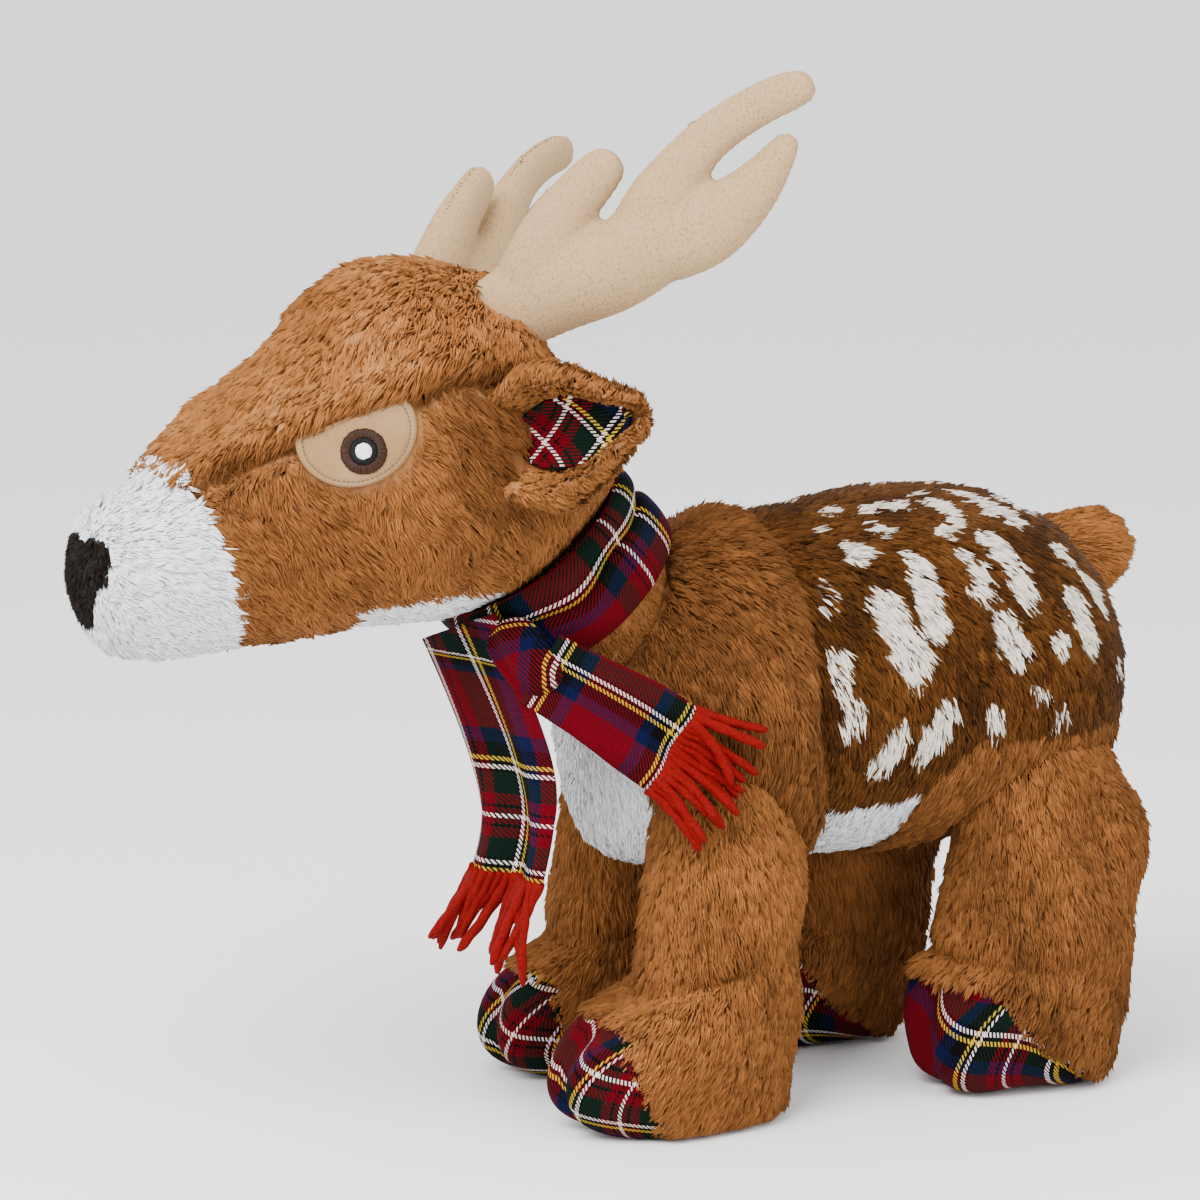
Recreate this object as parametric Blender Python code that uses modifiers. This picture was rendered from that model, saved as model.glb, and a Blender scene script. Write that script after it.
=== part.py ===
"""Plush deer with a scarf, standing on four feet.

Sewn skins lie over stuffing. The head, the antlers, the ears, the tail and the scarf's ends move.
The deer looks along -Y, its left side is +X, and the floor is z = 0. All sizes are in metres.
"""
import math

import bpy
import bmesh
from mathutils import Matrix, Vector

# Fabric, seams and rounding
SKIN = 0.0030
SEAM_GAP = 0.0003
OVERRUN = 0.004
BODY_SIDES = 10
LIMB_SIDES = 8
BALL_SIDES = 16

# Torso
TORSO_FRONT_Y = -0.021
TORSO_LENGTH = 0.201
TORSO_WIDTH = 0.118
TORSO_HEIGHT = 0.119
TORSO_MID_Z = 0.140
# Along the length, then the middle's rise, the half width and the half height
torso_ring_shares = [
    (0.00, -0.02, 0.14, 0.14),
    (0.045, -0.03, 0.33, 0.31),
    (0.15, -0.03, 0.45, 0.45),
    (0.33, -0.02, 0.50, 0.49),
    (0.56, -0.005, 0.50, 0.50),
    (0.78, 0.0, 0.495, 0.50),
    (0.93, -0.02, 0.40, 0.41),
    (1.00, -0.02, 0.17, 0.18),
]
SADDLE_FRONT_Y = 0.038
SADDLE_LOW_Z = 0.103
SADDLE_BELLY_Z = 0.110
SADDLE_HIP_Y = 0.088
SADDLE_HIP_Z = 0.127
SADDLE_SLOPE = 0.012
CHEST_TOP_Z = 0.152
CHEST_HALF_WIDTH = 0.030

# Neck, leaning forward from upright
NECK_TOP_Y = -0.038
NECK_TOP_Z = 0.1935
NECK_LEAN = math.radians(40)
NECK_RADIUS = 0.0335
NECK_LENGTH = 0.075
# Down the neck, then the radius
neck_ring_shares = [(-0.40, 1.0), (0.26, 1.0), (0.62, 0.86), (0.95, 0.60)]

# Head
HEAD_BACK_Y = -0.011
HEAD_LENGTH = 0.187
HEAD_WIDTH = 0.107
HEAD_HEIGHT = 0.122
HEAD_MID_Z = 0.225
head_ring_shares = [
    (0.00, 0.100, 0.17, 0.16),
    (0.045, 0.085, 0.34, 0.28),
    (0.15, 0.035, 0.455, 0.375),
    (0.32, 0.005, 0.505, 0.485),
    (0.50, -0.01, 0.485, 0.48),
    (0.66, -0.09, 0.395, 0.385),
    (0.80, -0.205, 0.31, 0.295),
    (0.92, -0.270, 0.255, 0.225),
    (1.00, -0.275, 0.12, 0.105),
]
MUZZLE_SEAM_TOP_Y = -0.168
MUZZLE_SEAM_TOP_Z = 0.229
MUZZLE_SEAM_LOW_Y = -0.146
MUZZLE_SEAM_LOW_Z = 0.160
NOSE_HALF_WIDTH = 0.0155
NOSE_TOP_Z = 0.2075
NOSE_HEIGHT = 0.032
NOSE_DEPTH = 0.022
# Half of the nose, from its top notch round to its lower tip: sideways, then down
nose_outline_shares = [
    (0.0, 0.10), (0.35, 0.0), (0.80, 0.03), (1.0, 0.20),
    (0.85, 0.44), (0.52, 0.58), (0.34, 0.78), (0.22, 1.0),
]

# Eyes: a suede half moon under the brow, with an embroidered eye on it
EYE_X = 0.0400
EYE_Y = -0.1120
EYE_Z = 0.2300
EYE_TURN = math.radians(62)
EYE_RISE = math.radians(12)
EYE_SLANT = math.radians(24)
PATCH_RADIUS = 0.0190
PATCH_BROW = 0.0045
PATCH_RISE = 0.0065
PATCH_LIFT = 0.0006
PATCH_DROP_SHARE = 0.86
PATCH_THICKNESS = 0.0012
STITCH_THICKNESS = 0.0009
IRIS_RADIUS = 0.0064
PUPIL_RADIUS = 0.0041
GLINT_RADIUS = 0.0019
EYE_POINTS = 12

# Antlers, in an upright plane that runs outwards and back
ANTLER_ROOT_X = 0.0235
ANTLER_ROOT_Y = -0.0590
ANTLER_ROOT_Z = 0.2745
ANTLER_TURN = math.radians(50)
ANTLER_REACH = 0.100
ANTLER_FLATNESS_SHARE = 0.66
ANTLER_BALL = 0.0115
ANTLER_RIGHT_DROOP = math.radians(11)
BALL_CLEARANCE = 0.0006
# Out along the plane, up, and the half width there
antler_beam_shares = [(0.0, 0.0, 0.115), (0.20, 0.06, 0.155), (0.42, 0.16, 0.155), (0.60, 0.25, 0.140)]
antler_upper_shares = [(0.70, 0.43, 0.110), (0.83, 0.575, 0.100), (0.94, 0.675, 0.085)]
antler_lower_shares = [(0.78, 0.30, 0.115), (0.875, 0.395, 0.098), (0.905, 0.485, 0.075)]
antler_tine_shares = [(0.25, 0.29, 0.120), (0.30, 0.42, 0.105)]
ANTLER_FLEX = math.radians(12)

# Ears: a cupped leaf on a rolled root, with a lining
EAR_ROOT_X = 0.0525
EAR_ROOT_Y = -0.0660
EAR_ROOT_Z = 0.2290
EAR_TURN = math.radians(37)
EAR_RISE = math.radians(15)
EAR_LENGTH = 0.048
EAR_WIDTH = 0.047
EAR_THICKNESS = 0.0045
EAR_CUP = 0.009
EAR_ROOT_RADIUS = 0.0050
EAR_ROOT_LENGTH = 0.022
EAR_START = -0.0010
EAR_FOLD = math.radians(20)
LINING_MARGIN = 0.0055
LINING_LIFT = 0.0011
LINING_THICKNESS = 0.0014
# Half width of the leaf along its length
ear_width_shares = [0.44, 0.90, 1.0, 0.80, 0.28]

# Legs: the lowest rings spread forward into the foot
LEG_TOP_Z = 0.138
FRONT_LEG_X = 0.0385
FRONT_LEFT_Y = 0.0170
FRONT_RIGHT_Y = 0.0210
HIND_LEG_X = 0.0420
HIND_LEFT_Y = 0.1360
HIND_RIGHT_Y = 0.1020
FRONT_LEG_WIDTH = 0.047
FRONT_LEG_DEPTH = 0.047
FRONT_FOOT_SHIFT = 0.0225
FRONT_FOOT_GROWTH = 0.0210
HIND_LEG_WIDTH = 0.051
HIND_LEG_DEPTH = 0.060
HIND_FOOT_SHIFT = 0.0110
HIND_FOOT_GROWTH = 0.0080
CLEFT_DEPTH = 0.0110
LOBE_PUSH = 0.0045
# Up the leg, then its half width and half depth, how much of the foot's shift and growth it has, how
# deep the toe's cleft is, and how far the leg leans in to the body
leg_ring_shares = [
    (0.000, 0.38, 0.42, 0.70, 0.60, 0.00),
    (0.080, 0.50, 0.50, 1.00, 1.00, 0.00),
    (0.220, 0.51, 0.50, 0.90, 0.80, 0.00),
    (0.370, 0.48, 0.50, 0.06, 0.00, 0.00),
    (0.680, 0.50, 0.50, 0.00, 0.00, 0.03),
    (1.000, 0.38, 0.36, 0.00, 0.00, 0.28),
]
SOLE_SINK = 0.0013
SOLE_Z = 0.0055
HOOF_TOP_Z = 0.0450
FRONT_HOOF_FRONT = 0.0505
FRONT_HOOF_LEAN = 0.0170
HIND_HOOF_FRONT = 0.0360
HIND_HOOF_LEAN = 0.0560

# Tail
TAIL_ROOT_Y = 0.1560
TAIL_ROOT_Z = 0.1780
TAIL_LENGTH = 0.045
TAIL_RADIUS = 0.0135
TAIL_BALL = 0.0105
TAIL_DROP = math.radians(6)
TAIL_WAG = math.radians(25)
# Along the tail, then the half width and half height
tail_ring_shares = [
    (0.00, 0.62, 0.62), (0.16, 0.72, 0.74), (0.42, 0.96, 1.0),
    (0.66, 0.98, 1.02), (0.86, 0.74, 0.76), (0.97, 0.34, 0.34),
]

# Scarf: a band round the neck, a knot, and two ends with a yarn fringe
BAND_DROP = 0.0020
BAND_WIDTH = 0.0270
BAND_CLEARANCE = 0.0003
BAND_THICKNESS = 0.0048
BAND_STEPS = 24
# Down the band, then out from its inner face: two folds
band_profile_shares = [
    (0.00, 0.0), (0.00, 0.55), (0.12, 1.0), (0.32, 1.0), (0.48, 0.62),
    (0.62, 0.95), (0.86, 1.0), (1.00, 0.55), (1.00, 0.0),
]
CLOTH_THICKNESS = 0.0030
KNOT_X = 0.0332
KNOT_Y = -0.0584
KNOT_Z = 0.1620
KNOT_WIDTH = 0.034
KNOT_DEPTH = 0.021
KNOT_HEIGHT = 0.026
KNOT_TURN = math.radians(32)
FRONT_END_WIDTH = 0.035
FRONT_END_WAVE = 0.0030
SIDE_END_WIDTH = 0.036
SIDE_END_WAVE = 0.0022
FRONT_END_X = 0.0290
FRONT_END_Y = -0.0595
FRONT_END_Z = 0.1500
FRONT_END_LENGTH = 0.063
FRONT_END_TURN = math.radians(16)
SIDE_END_X = 0.0425
SIDE_END_Y = -0.0505
SIDE_END_Z = 0.1560
SIDE_END_LENGTH = 0.056
SIDE_END_TILT = math.radians(56)
# The middle line of each end, as shares of its length: outwards, back and down from where it starts
front_end_line_shares = [(0.0, 0.0, 0.0), (0.01, -0.01, 0.33), (0.02, -0.03, 0.67), (0.015, -0.05, 1.0)]
side_end_line_shares = [(0.0, 0.0, 0.0), (0.125, 0.25, 0.16), (0.23, 0.52, 0.34), (0.30, 0.79, 0.54)]
END_START_GAP = 0.0009
end_width_shares = [0.62, 0.86, 0.97, 1.0]
end_wave_shares = [0.0, 0.6, 1.0, 1.0]
FRINGE_COUNT = 10
FRINGE_YARN = 0.0030
FRINGE_LENGTH = 0.030
HEM_DEPTH = 0.0022
HEM_BITE = 0.0012
FRINGE_SPLAY = 0.12
fringe_radius_shares = [1.0, 1.0, 0.6]
YARN_SIDES = 5
STRIP_COLUMNS = 6

SIDES = (("left", 1), ("right", -1))
PART_COLLECTION = "plush_deer"
CUTTER_COLLECTION = "cutting_shapes"


def colour(text):
    """Linear colour of a hex sRGB value."""
    parts = [int(text[i:i + 2], 16) / 255 for i in (0, 2, 4)]
    return [c / 12.92 if c <= 0.04045 else ((c + 0.055) / 1.055) ** 2.4 for c in parts] + [1.0]


def material(name, hex_colour, roughness):
    made = bpy.data.materials.new(name)
    made.use_nodes = True
    shader = made.node_tree.nodes["Principled BSDF"]
    shader.inputs["Base Color"].default_value = colour(hex_colour)
    shader.inputs["Roughness"].default_value = roughness
    shader.inputs["Metallic"].default_value = 0.0
    return made


def tan_plush():
    return material("tan_plush", "BA8042", 0.9)


def saddle_plush():
    return material("spotted_brown_plush", "8F5F2A", 0.9)


def white_plush():
    return material("white_plush", "E4E6EC", 0.9)


def black_plush():
    return material("black_plush", "17130F", 0.9)


def polyester_filling():
    return material("polyester_filling", "F2F1EC", 1.0)


def suede_cloth():
    return material("suede_cloth", "CDB898", 0.85)


def checked_cloth():
    return material("checked_cloth", "A3221F", 0.8)


def red_yarn():
    return material("red_yarn", "C81010", 0.85)


def thread(name, hex_colour):
    return material(name, hex_colour, 0.5)


def start_scene():
    for item in list(bpy.data.objects):
        bpy.data.objects.remove(item, do_unlink=True)
    for name in (PART_COLLECTION, CUTTER_COLLECTION):
        bpy.context.scene.collection.children.link(bpy.data.collections.new(name))


def place(name, mesh, finish=None, matrix=None):
    """A shown piece when it has a finish, and a cutting shape when it has none."""
    item = bpy.data.objects.new(name, mesh)
    if matrix is not None:
        item.matrix_world = matrix
    if finish is None:
        bpy.data.collections[CUTTER_COLLECTION].objects.link(item)
        item.hide_render = True
        item.display_type = "WIRE"
    else:
        bpy.data.collections[PART_COLLECTION].objects.link(item)
        mesh.materials.append(finish)
    return item


def boolean(item, operation, *others, solver="EXACT"):
    for other in others:
        step = item.modifiers.new(operation.lower(), "BOOLEAN")
        step.operation = operation
        step.solver = solver
        step.object = other
    return item


def cut(item, *others):
    return boolean(item, "DIFFERENCE", *others)


def keep(item, *others):
    return boolean(item, "INTERSECT", *others)


def join(item, *others):
    return boolean(item, "UNION", *others)


def smooth(item, levels=1):
    step = item.modifiers.new("smooth", "SUBSURF")
    step.levels = levels
    step.render_levels = levels
    return item


def swept_cuts(item, keepout, pivot, axis, swing):
    """Cuts a moving form where a fixed one reaches it at rest and at both ends of its swing."""
    there = Matrix.Translation(pivot)
    for turn in (-swing, 0, swing):
        move = there @ Matrix.Rotation(turn, 4, axis) @ there.inverted()
        copy = keepout.copy()
        bpy.data.collections[CUTTER_COLLECTION].objects.link(copy)
        copy.matrix_world = move @ keepout.matrix_world
        cut(item, copy)
    return item


def closed_mesh(name, points, faces):
    """A mesh whose faces all point out."""
    mesh = bpy.data.meshes.new(name)
    mesh.from_pydata([tuple(p) for p in points], [], faces)
    work = bmesh.new()
    work.from_mesh(mesh)
    bmesh.ops.recalc_face_normals(work, faces=work.faces)
    work.to_mesh(mesh)
    work.free()
    mesh.shade_smooth()
    return mesh


def ring_cage(name, rings, sides, open_end=False, notches=None):
    """A loft through rings, each a middle with its half width and half height as vectors.

    A subdivided ring draws in, so the cage is made larger by the same share. A notch pulls the point
    that lies furthest along minus the second vector in, and pushes the points beside it out.
    """
    swell = 6 / (4 + 2 * math.cos(2 * math.pi / sides))
    points = []
    for row, (middle, side, up) in enumerate(rings):
        for k in range(sides):
            turn = 2 * math.pi * k / sides - math.pi / 2
            point = middle + swell * (math.cos(turn) * side + math.sin(turn) * up)
            if notches and k == 0:
                point += up.normalized() * (notches[row] * CLEFT_DEPTH)
            if notches and k in (1, sides - 1):
                point -= up.normalized() * (notches[row] * LOBE_PUSH)
            points.append(point)
    faces = [tuple(range(sides))]
    if not open_end:
        faces.append(tuple(range(len(points) - sides, len(points))))
    for row in range(len(rings) - 1):
        for k in range(sides):
            a = row * sides + k
            b = row * sides + (k + 1) % sides
            faces.append((a, b, b + sides, a + sides))
    return closed_mesh(name, points, faces)


def walled(item):
    """Turns a smooth surface into a skin of even thickness on its inner side."""
    wall = item.modifiers.new("wall", "SOLIDIFY")
    wall.thickness = SKIN
    wall.offset = -1.0
    return item


def drawn_in(item, depth):
    """Moves a smooth surface inwards along its normals."""
    draw = item.modifiers.new("draw_in", "DISPLACE")
    draw.strength = -depth
    draw.mid_level = 0.0
    return item


def prism(name, outline, axis_to_world, half_depth):
    """A flat outline drawn in the local XY plane, extruded both ways along local Z."""
    count = len(outline)
    points = [Vector((x, y, z)) for z in (-half_depth, half_depth) for x, y in outline]
    faces = [tuple(range(count)), tuple(range(count, 2 * count))]
    for k in range(count):
        nxt = (k + 1) % count
        faces.append((k, nxt, nxt + count, k + count))
    return place(name, closed_mesh(name, points, faces), matrix=axis_to_world)


def grow(outline, by):
    """A convex or gently hollow outline moved outwards by a distance."""
    area = sum(a[0] * b[1] - b[0] * a[1] for a, b in zip(outline, outline[1:] + outline[:1]))
    sign = 1 if area > 0 else -1
    made = []
    for k, point in enumerate(outline):
        before = Vector(point) - Vector(outline[k - 1])
        after = Vector(outline[(k + 1) % len(outline)]) - Vector(point)
        first = Vector((before.y, -before.x)).normalized() * sign
        second = Vector((after.y, -after.x)).normalized() * sign
        middle = (first + second).normalized()
        made.append(tuple(Vector(point) + middle * (by / max(middle.dot(first), 0.4))))
    return made


def ball(name, centre, radius):
    """A ball turned half a step, so that none of its edges lies in the middle plane."""
    half_step = Matrix.Rotation(math.pi / BALL_SIDES, 4, "Z")
    work = bmesh.new()
    bmesh.ops.create_uvsphere(work, u_segments=BALL_SIDES, v_segments=BALL_SIDES // 2, radius=radius)
    mesh = bpy.data.meshes.new(name)
    work.to_mesh(mesh)
    work.free()
    return place(name, mesh, matrix=Matrix.Translation(centre) @ half_step)


def rod(name, matrix, radius, length, sides=BALL_SIDES):
    work = bmesh.new()
    bmesh.ops.create_cone(
        work, cap_ends=True, segments=sides, radius1=radius, radius2=radius, depth=length
    )
    mesh = bpy.data.meshes.new(name)
    work.to_mesh(mesh)
    work.free()
    return place(name, mesh, matrix=matrix)


def block(name, matrix, size):
    work = bmesh.new()
    bmesh.ops.create_cube(work, size=1.0, matrix=Matrix.Diagonal((*size, 1.0)))
    mesh = bpy.data.meshes.new(name)
    work.to_mesh(mesh)
    work.free()
    return place(name, mesh, matrix=matrix)


def axes(x, y, z, origin=(0, 0, 0)):
    """A world matrix from three axis vectors and an origin."""
    made = Matrix((x, y, z)).transposed().to_4x4()
    made.translation = Vector(origin)
    return made


SIDE_VIEW = axes((0, 1, 0), (0, 0, 1), (1, 0, 0))
REACH = TORSO_LENGTH + HEAD_LENGTH


# Torso

def torso_rings():
    made = []
    for along, rise, wide, high in torso_ring_shares:
        middle = Vector((0, TORSO_FRONT_Y + along * TORSO_LENGTH, TORSO_MID_Z + rise * TORSO_HEIGHT))
        made.append([middle, Vector((wide * TORSO_WIDTH, 0, 0)), Vector((0, 0, high * TORSO_HEIGHT))])
    return made


def torso_form(name, finish=None):
    return smooth(place(name, ring_cage(name, torso_rings(), BODY_SIDES), finish))


def torso_keepout():
    """The torso's outside, grown by the seam gap."""
    return drawn_in(torso_form("torso_keepout"), -SEAM_GAP)


def panel_outlines():
    """The torso's panels in the side view. They meet at their seams."""
    top = TORSO_MID_Z + TORSO_HEIGHT
    low = TORSO_MID_Z - TORSO_HEIGHT
    front = TORSO_FRONT_Y - TORSO_WIDTH
    back = TORSO_FRONT_Y + TORSO_LENGTH + TORSO_WIDTH
    hip = (SADDLE_HIP_Y, SADDLE_BELLY_Z)
    hip_top = (SADDLE_HIP_Y + SADDLE_SLOPE, SADDLE_HIP_Z)
    corner = (SADDLE_FRONT_Y, SADDLE_LOW_Z)
    shoulder = [(front, low), (SADDLE_FRONT_Y, low), (SADDLE_FRONT_Y, top), (front, top)]
    saddle = [corner, hip, hip_top, (back, SADDLE_HIP_Z), (back, top), (SADDLE_FRONT_Y, top)]
    belly = [(SADDLE_FRONT_Y, low), (SADDLE_HIP_Y, low), hip, corner]
    hips = [(SADDLE_HIP_Y, low), (back, low), (back, SADDLE_HIP_Z), hip_top, hip]
    return shoulder, saddle, belly, hips


def chest_outline():
    """The white chest in the side view, run on into the belly."""
    front = TORSO_FRONT_Y - TORSO_WIDTH
    low = TORSO_MID_Z - TORSO_HEIGHT
    back = SADDLE_FRONT_Y + SADDLE_SLOPE
    return [
        (front, low), (back, low), (back, SADDLE_LOW_Z - OVERRUN),
        (SADDLE_FRONT_Y - SADDLE_SLOPE, CHEST_TOP_Z), (front, CHEST_TOP_Z),
    ]


def build_torso(tail_socket):
    """A stuffed barrel in four panels: tan shoulders and hips, spotted saddle, white chest and belly."""
    half_gap = -SEAM_GAP / 2
    names = ("shoulder_area", "saddle_area", "belly_area", "hip_area")
    areas = [prism(n, grow(o, half_gap), SIDE_VIEW, REACH) for n, o in zip(names, panel_outlines())]
    shoulder, saddle, belly, hips = areas
    chest = prism("chest_area", grow(chest_outline(), half_gap), SIDE_VIEW, CHEST_HALF_WIDTH)
    rest_width = CHEST_HALF_WIDTH + SEAM_GAP
    chest_rest = prism("chest_rest", grow(chest_outline(), -half_gap), SIDE_VIEW, rest_width)
    join(belly, chest)
    keep(walled(torso_form("shoulder_skin", tan_plush())), shoulder)
    cut(bpy.data.objects["shoulder_skin"], chest_rest)
    cut(keep(walled(torso_form("saddle_skin", saddle_plush())), saddle), tail_socket)
    keep(walled(torso_form("chest_and_belly_skin", white_plush())), belly)
    keep(walled(torso_form("hip_skin", tan_plush())), hips)
    cut(drawn_in(torso_form("torso_stuffing", polyester_filling()), SKIN + SEAM_GAP), tail_socket)


# Neck

def neck_axis():
    return Vector((0, -math.sin(NECK_LEAN), math.cos(NECK_LEAN)))


def neck_front():
    return Vector((0, -math.cos(NECK_LEAN), -math.sin(NECK_LEAN)))


def neck_top():
    return Vector((0, NECK_TOP_Y, NECK_TOP_Z))


def neck_frame(origin):
    """Local Z runs up the neck and local X sideways."""
    return axes((1, 0, 0), -neck_front(), neck_axis(), origin)


def neck_rings():
    made = []
    for down, share in neck_ring_shares:
        middle = neck_top() - neck_axis() * (down * NECK_LENGTH)
        radius = share * NECK_RADIUS
        made.append([middle, Vector((radius, 0, 0)), neck_front() * radius])
    return made


def neck_form(name, finish):
    return smooth(place(name, ring_cage(name, neck_rings(), BODY_SIDES), finish))


def half_space(name, side, margin):
    """All that lies above (1) or below (-1) the turning plane between head and neck."""
    origin = neck_top() + neck_axis() * side * (REACH / 2 + margin)
    return block(name, neck_frame(origin), (REACH, 2 * REACH, REACH))


def build_neck(keepout, above):
    cut(walled(neck_form("neck_skin", tan_plush())), above, keepout)
    cut(drawn_in(neck_form("neck_stuffing", polyester_filling()), SKIN + SEAM_GAP), above, keepout)


# Head

def head_rings():
    made = []
    for along, rise, wide, high in head_ring_shares:
        middle = Vector((0, HEAD_BACK_Y - along * HEAD_LENGTH, HEAD_MID_Z + rise * HEAD_HEIGHT))
        made.append([middle, Vector((wide * HEAD_WIDTH, 0, 0)), Vector((0, 0, high * HEAD_HEIGHT))])
    return made


def muzzle_outline():
    """All that lies in front of the muzzle seam, in the side view."""
    slope = (MUZZLE_SEAM_TOP_Y - MUZZLE_SEAM_LOW_Y) / (MUZZLE_SEAM_TOP_Z - MUZZLE_SEAM_LOW_Z)
    high = MUZZLE_SEAM_TOP_Z + HEAD_HEIGHT
    low = MUZZLE_SEAM_LOW_Z - HEAD_HEIGHT
    front = HEAD_BACK_Y - 2 * HEAD_LENGTH
    return [
        (MUZZLE_SEAM_TOP_Y + slope * HEAD_HEIGHT, high),
        (MUZZLE_SEAM_LOW_Y - slope * HEAD_HEIGHT, low),
        (front, low), (front, high),
    ]


def nose_outline():
    half = [(x * NOSE_HALF_WIDTH, NOSE_TOP_Z - z * NOSE_HEIGHT) for x, z in nose_outline_shares]
    return half + [(-x, z) for x, z in reversed(half[1:])]


def head_form(name, finish=None):
    return smooth(place(name, ring_cage(name, head_rings(), BODY_SIDES), finish))


def build_head(below, sockets):
    """A tan head skin and a white muzzle skin with a black nose, over stuffing."""
    half_gap = SEAM_GAP / 2
    muzzle = prism("muzzle_area", grow(muzzle_outline(), -half_gap), SIDE_VIEW, REACH)
    muzzle_rest = prism("muzzle_rest", grow(muzzle_outline(), half_gap), SIDE_VIEW, REACH)
    nose_middle = axes((1, 0, 0), (0, 0, 1), (0, -1, 0), (0, HEAD_BACK_Y - HEAD_LENGTH, 0))
    nose = prism("nose_area", grow(nose_outline(), -half_gap), nose_middle, NOSE_DEPTH)
    nose_rest = prism("nose_rest", grow(nose_outline(), half_gap), nose_middle, NOSE_DEPTH + SEAM_GAP)
    cut(walled(head_form("head_skin", tan_plush())), muzzle_rest, below, *sockets)
    cut(keep(walled(head_form("muzzle_skin", white_plush())), muzzle), nose_rest)
    keep(walled(head_form("nose", black_plush())), nose)
    cut(drawn_in(head_form("head_stuffing", polyester_filling()), SKIN + SEAM_GAP), below, *sockets)


def laid_patch(name, finish, side, outer, inner, lift, thickness, guide, rows=1):
    """A flat patch between two closed lines of equal counts, laid on the head and given thickness."""
    out = Vector((side * math.sin(EYE_TURN), -math.cos(EYE_TURN), math.tan(EYE_RISE))).normalized()
    across = Vector((0, 0, 1)).cross(out).normalized() * side
    back = (across * math.cos(EYE_SLANT) + out.cross(across) * side * math.sin(EYE_SLANT)).normalized()
    up = out.cross(back) * side
    origin = Vector((side * EYE_X, EYE_Y, EYE_Z)) + out * HEAD_WIDTH / 4
    points = []
    for row in range(rows + 1):
        share = row / rows
        for k, (u, v) in enumerate(outer):
            low_u, low_v = (0.0, 0.0) if inner is None else inner[k]
            if inner is None:
                share = (row + 1) / (rows + 1)
            along = low_u + (u - low_u) * share
            points.append(origin + back * along + up * (low_v + (v - low_v) * share))
    count = len(outer)
    faces = []
    for row in range(rows):
        for k in range(count):
            a = row * count + k
            b = row * count + (k + 1) % count
            faces.append((a, b, b + count, a + count))
    if inner is None:
        points.append(origin)
        faces += [(k, (k + 1) % count, len(points) - 1) for k in range(count)]
    mesh = bpy.data.meshes.new(name)
    to_world = axes(back * side, up, out, origin)
    to_local = to_world.inverted()
    mesh.from_pydata([tuple(to_local @ p) for p in points], [], faces)
    work = bmesh.new()
    work.from_mesh(mesh)
    bmesh.ops.recalc_face_normals(work, faces=work.faces)
    work.faces.ensure_lookup_table()
    if work.faces[0].normal.z < 0:
        bmesh.ops.reverse_faces(work, faces=work.faces)
    work.to_mesh(mesh)
    work.free()
    item = place(name, mesh, finish, to_world)
    lay = item.modifiers.new("lay", "SHRINKWRAP")
    lay.target = guide
    lay.wrap_method = "PROJECT"
    lay.use_project_z = True
    lay.use_negative_direction = True
    lay.use_positive_direction = False
    lay.wrap_mode = "ABOVE_SURFACE"
    lay.offset = lift
    wall = item.modifiers.new("wall", "SOLIDIFY")
    wall.thickness = thickness
    wall.offset = 1.0
    return item


def circle(radius):
    steps = [2 * math.pi * k / EYE_POINTS for k in range(EYE_POINTS)]
    return [(radius * math.cos(t), radius * math.sin(t)) for t in steps]


def half_moon():
    """A circle cut straight along the brow and drawn in a little below."""
    made = []
    for u, v in circle(PATCH_RADIUS):
        made.append((u, min(v * PATCH_DROP_SHARE, PATCH_BROW) + PATCH_RISE))
    return made


def build_eye(word, side, guide):
    stack = PATCH_LIFT + PATCH_THICKNESS + SEAM_GAP
    pupil_edge = PUPIL_RADIUS + SEAM_GAP
    glint_edge = GLINT_RADIUS + SEAM_GAP
    patch = word + "_eye_patch"
    laid_patch(patch, suede_cloth(), side, half_moon(), None, PATCH_LIFT, PATCH_THICKNESS, guide, rows=3)
    rings = [
        ("_eye_iris", thread("brown_thread", "7A4A22"), circle(IRIS_RADIUS), circle(pupil_edge)),
        ("_eye_pupil", thread("black_thread", "0E0C0B"), circle(PUPIL_RADIUS), circle(glint_edge)),
        ("_eye_glint", thread("white_thread", "F2F0EC"), circle(GLINT_RADIUS), None),
    ]
    for ending, finish, outer, inner in rings:
        laid_patch(word + ending, finish, side, outer, inner, stack, STITCH_THICKNESS, guide)


# Antlers

def antler_frame(side):
    """Local X runs outwards and back, local Y through the thickness, local Z up."""
    out = Vector((side * math.cos(ANTLER_TURN), math.sin(ANTLER_TURN), 0))
    up = Vector((0, 0, 1))
    root = Vector((side * ANTLER_ROOT_X, ANTLER_ROOT_Y, ANTLER_ROOT_Z))
    made = axes(out, up.cross(out), up, root)
    if side < 0:
        made = made @ Matrix.Rotation(ANTLER_RIGHT_DROOP, 4, "Y")
    return made


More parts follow.
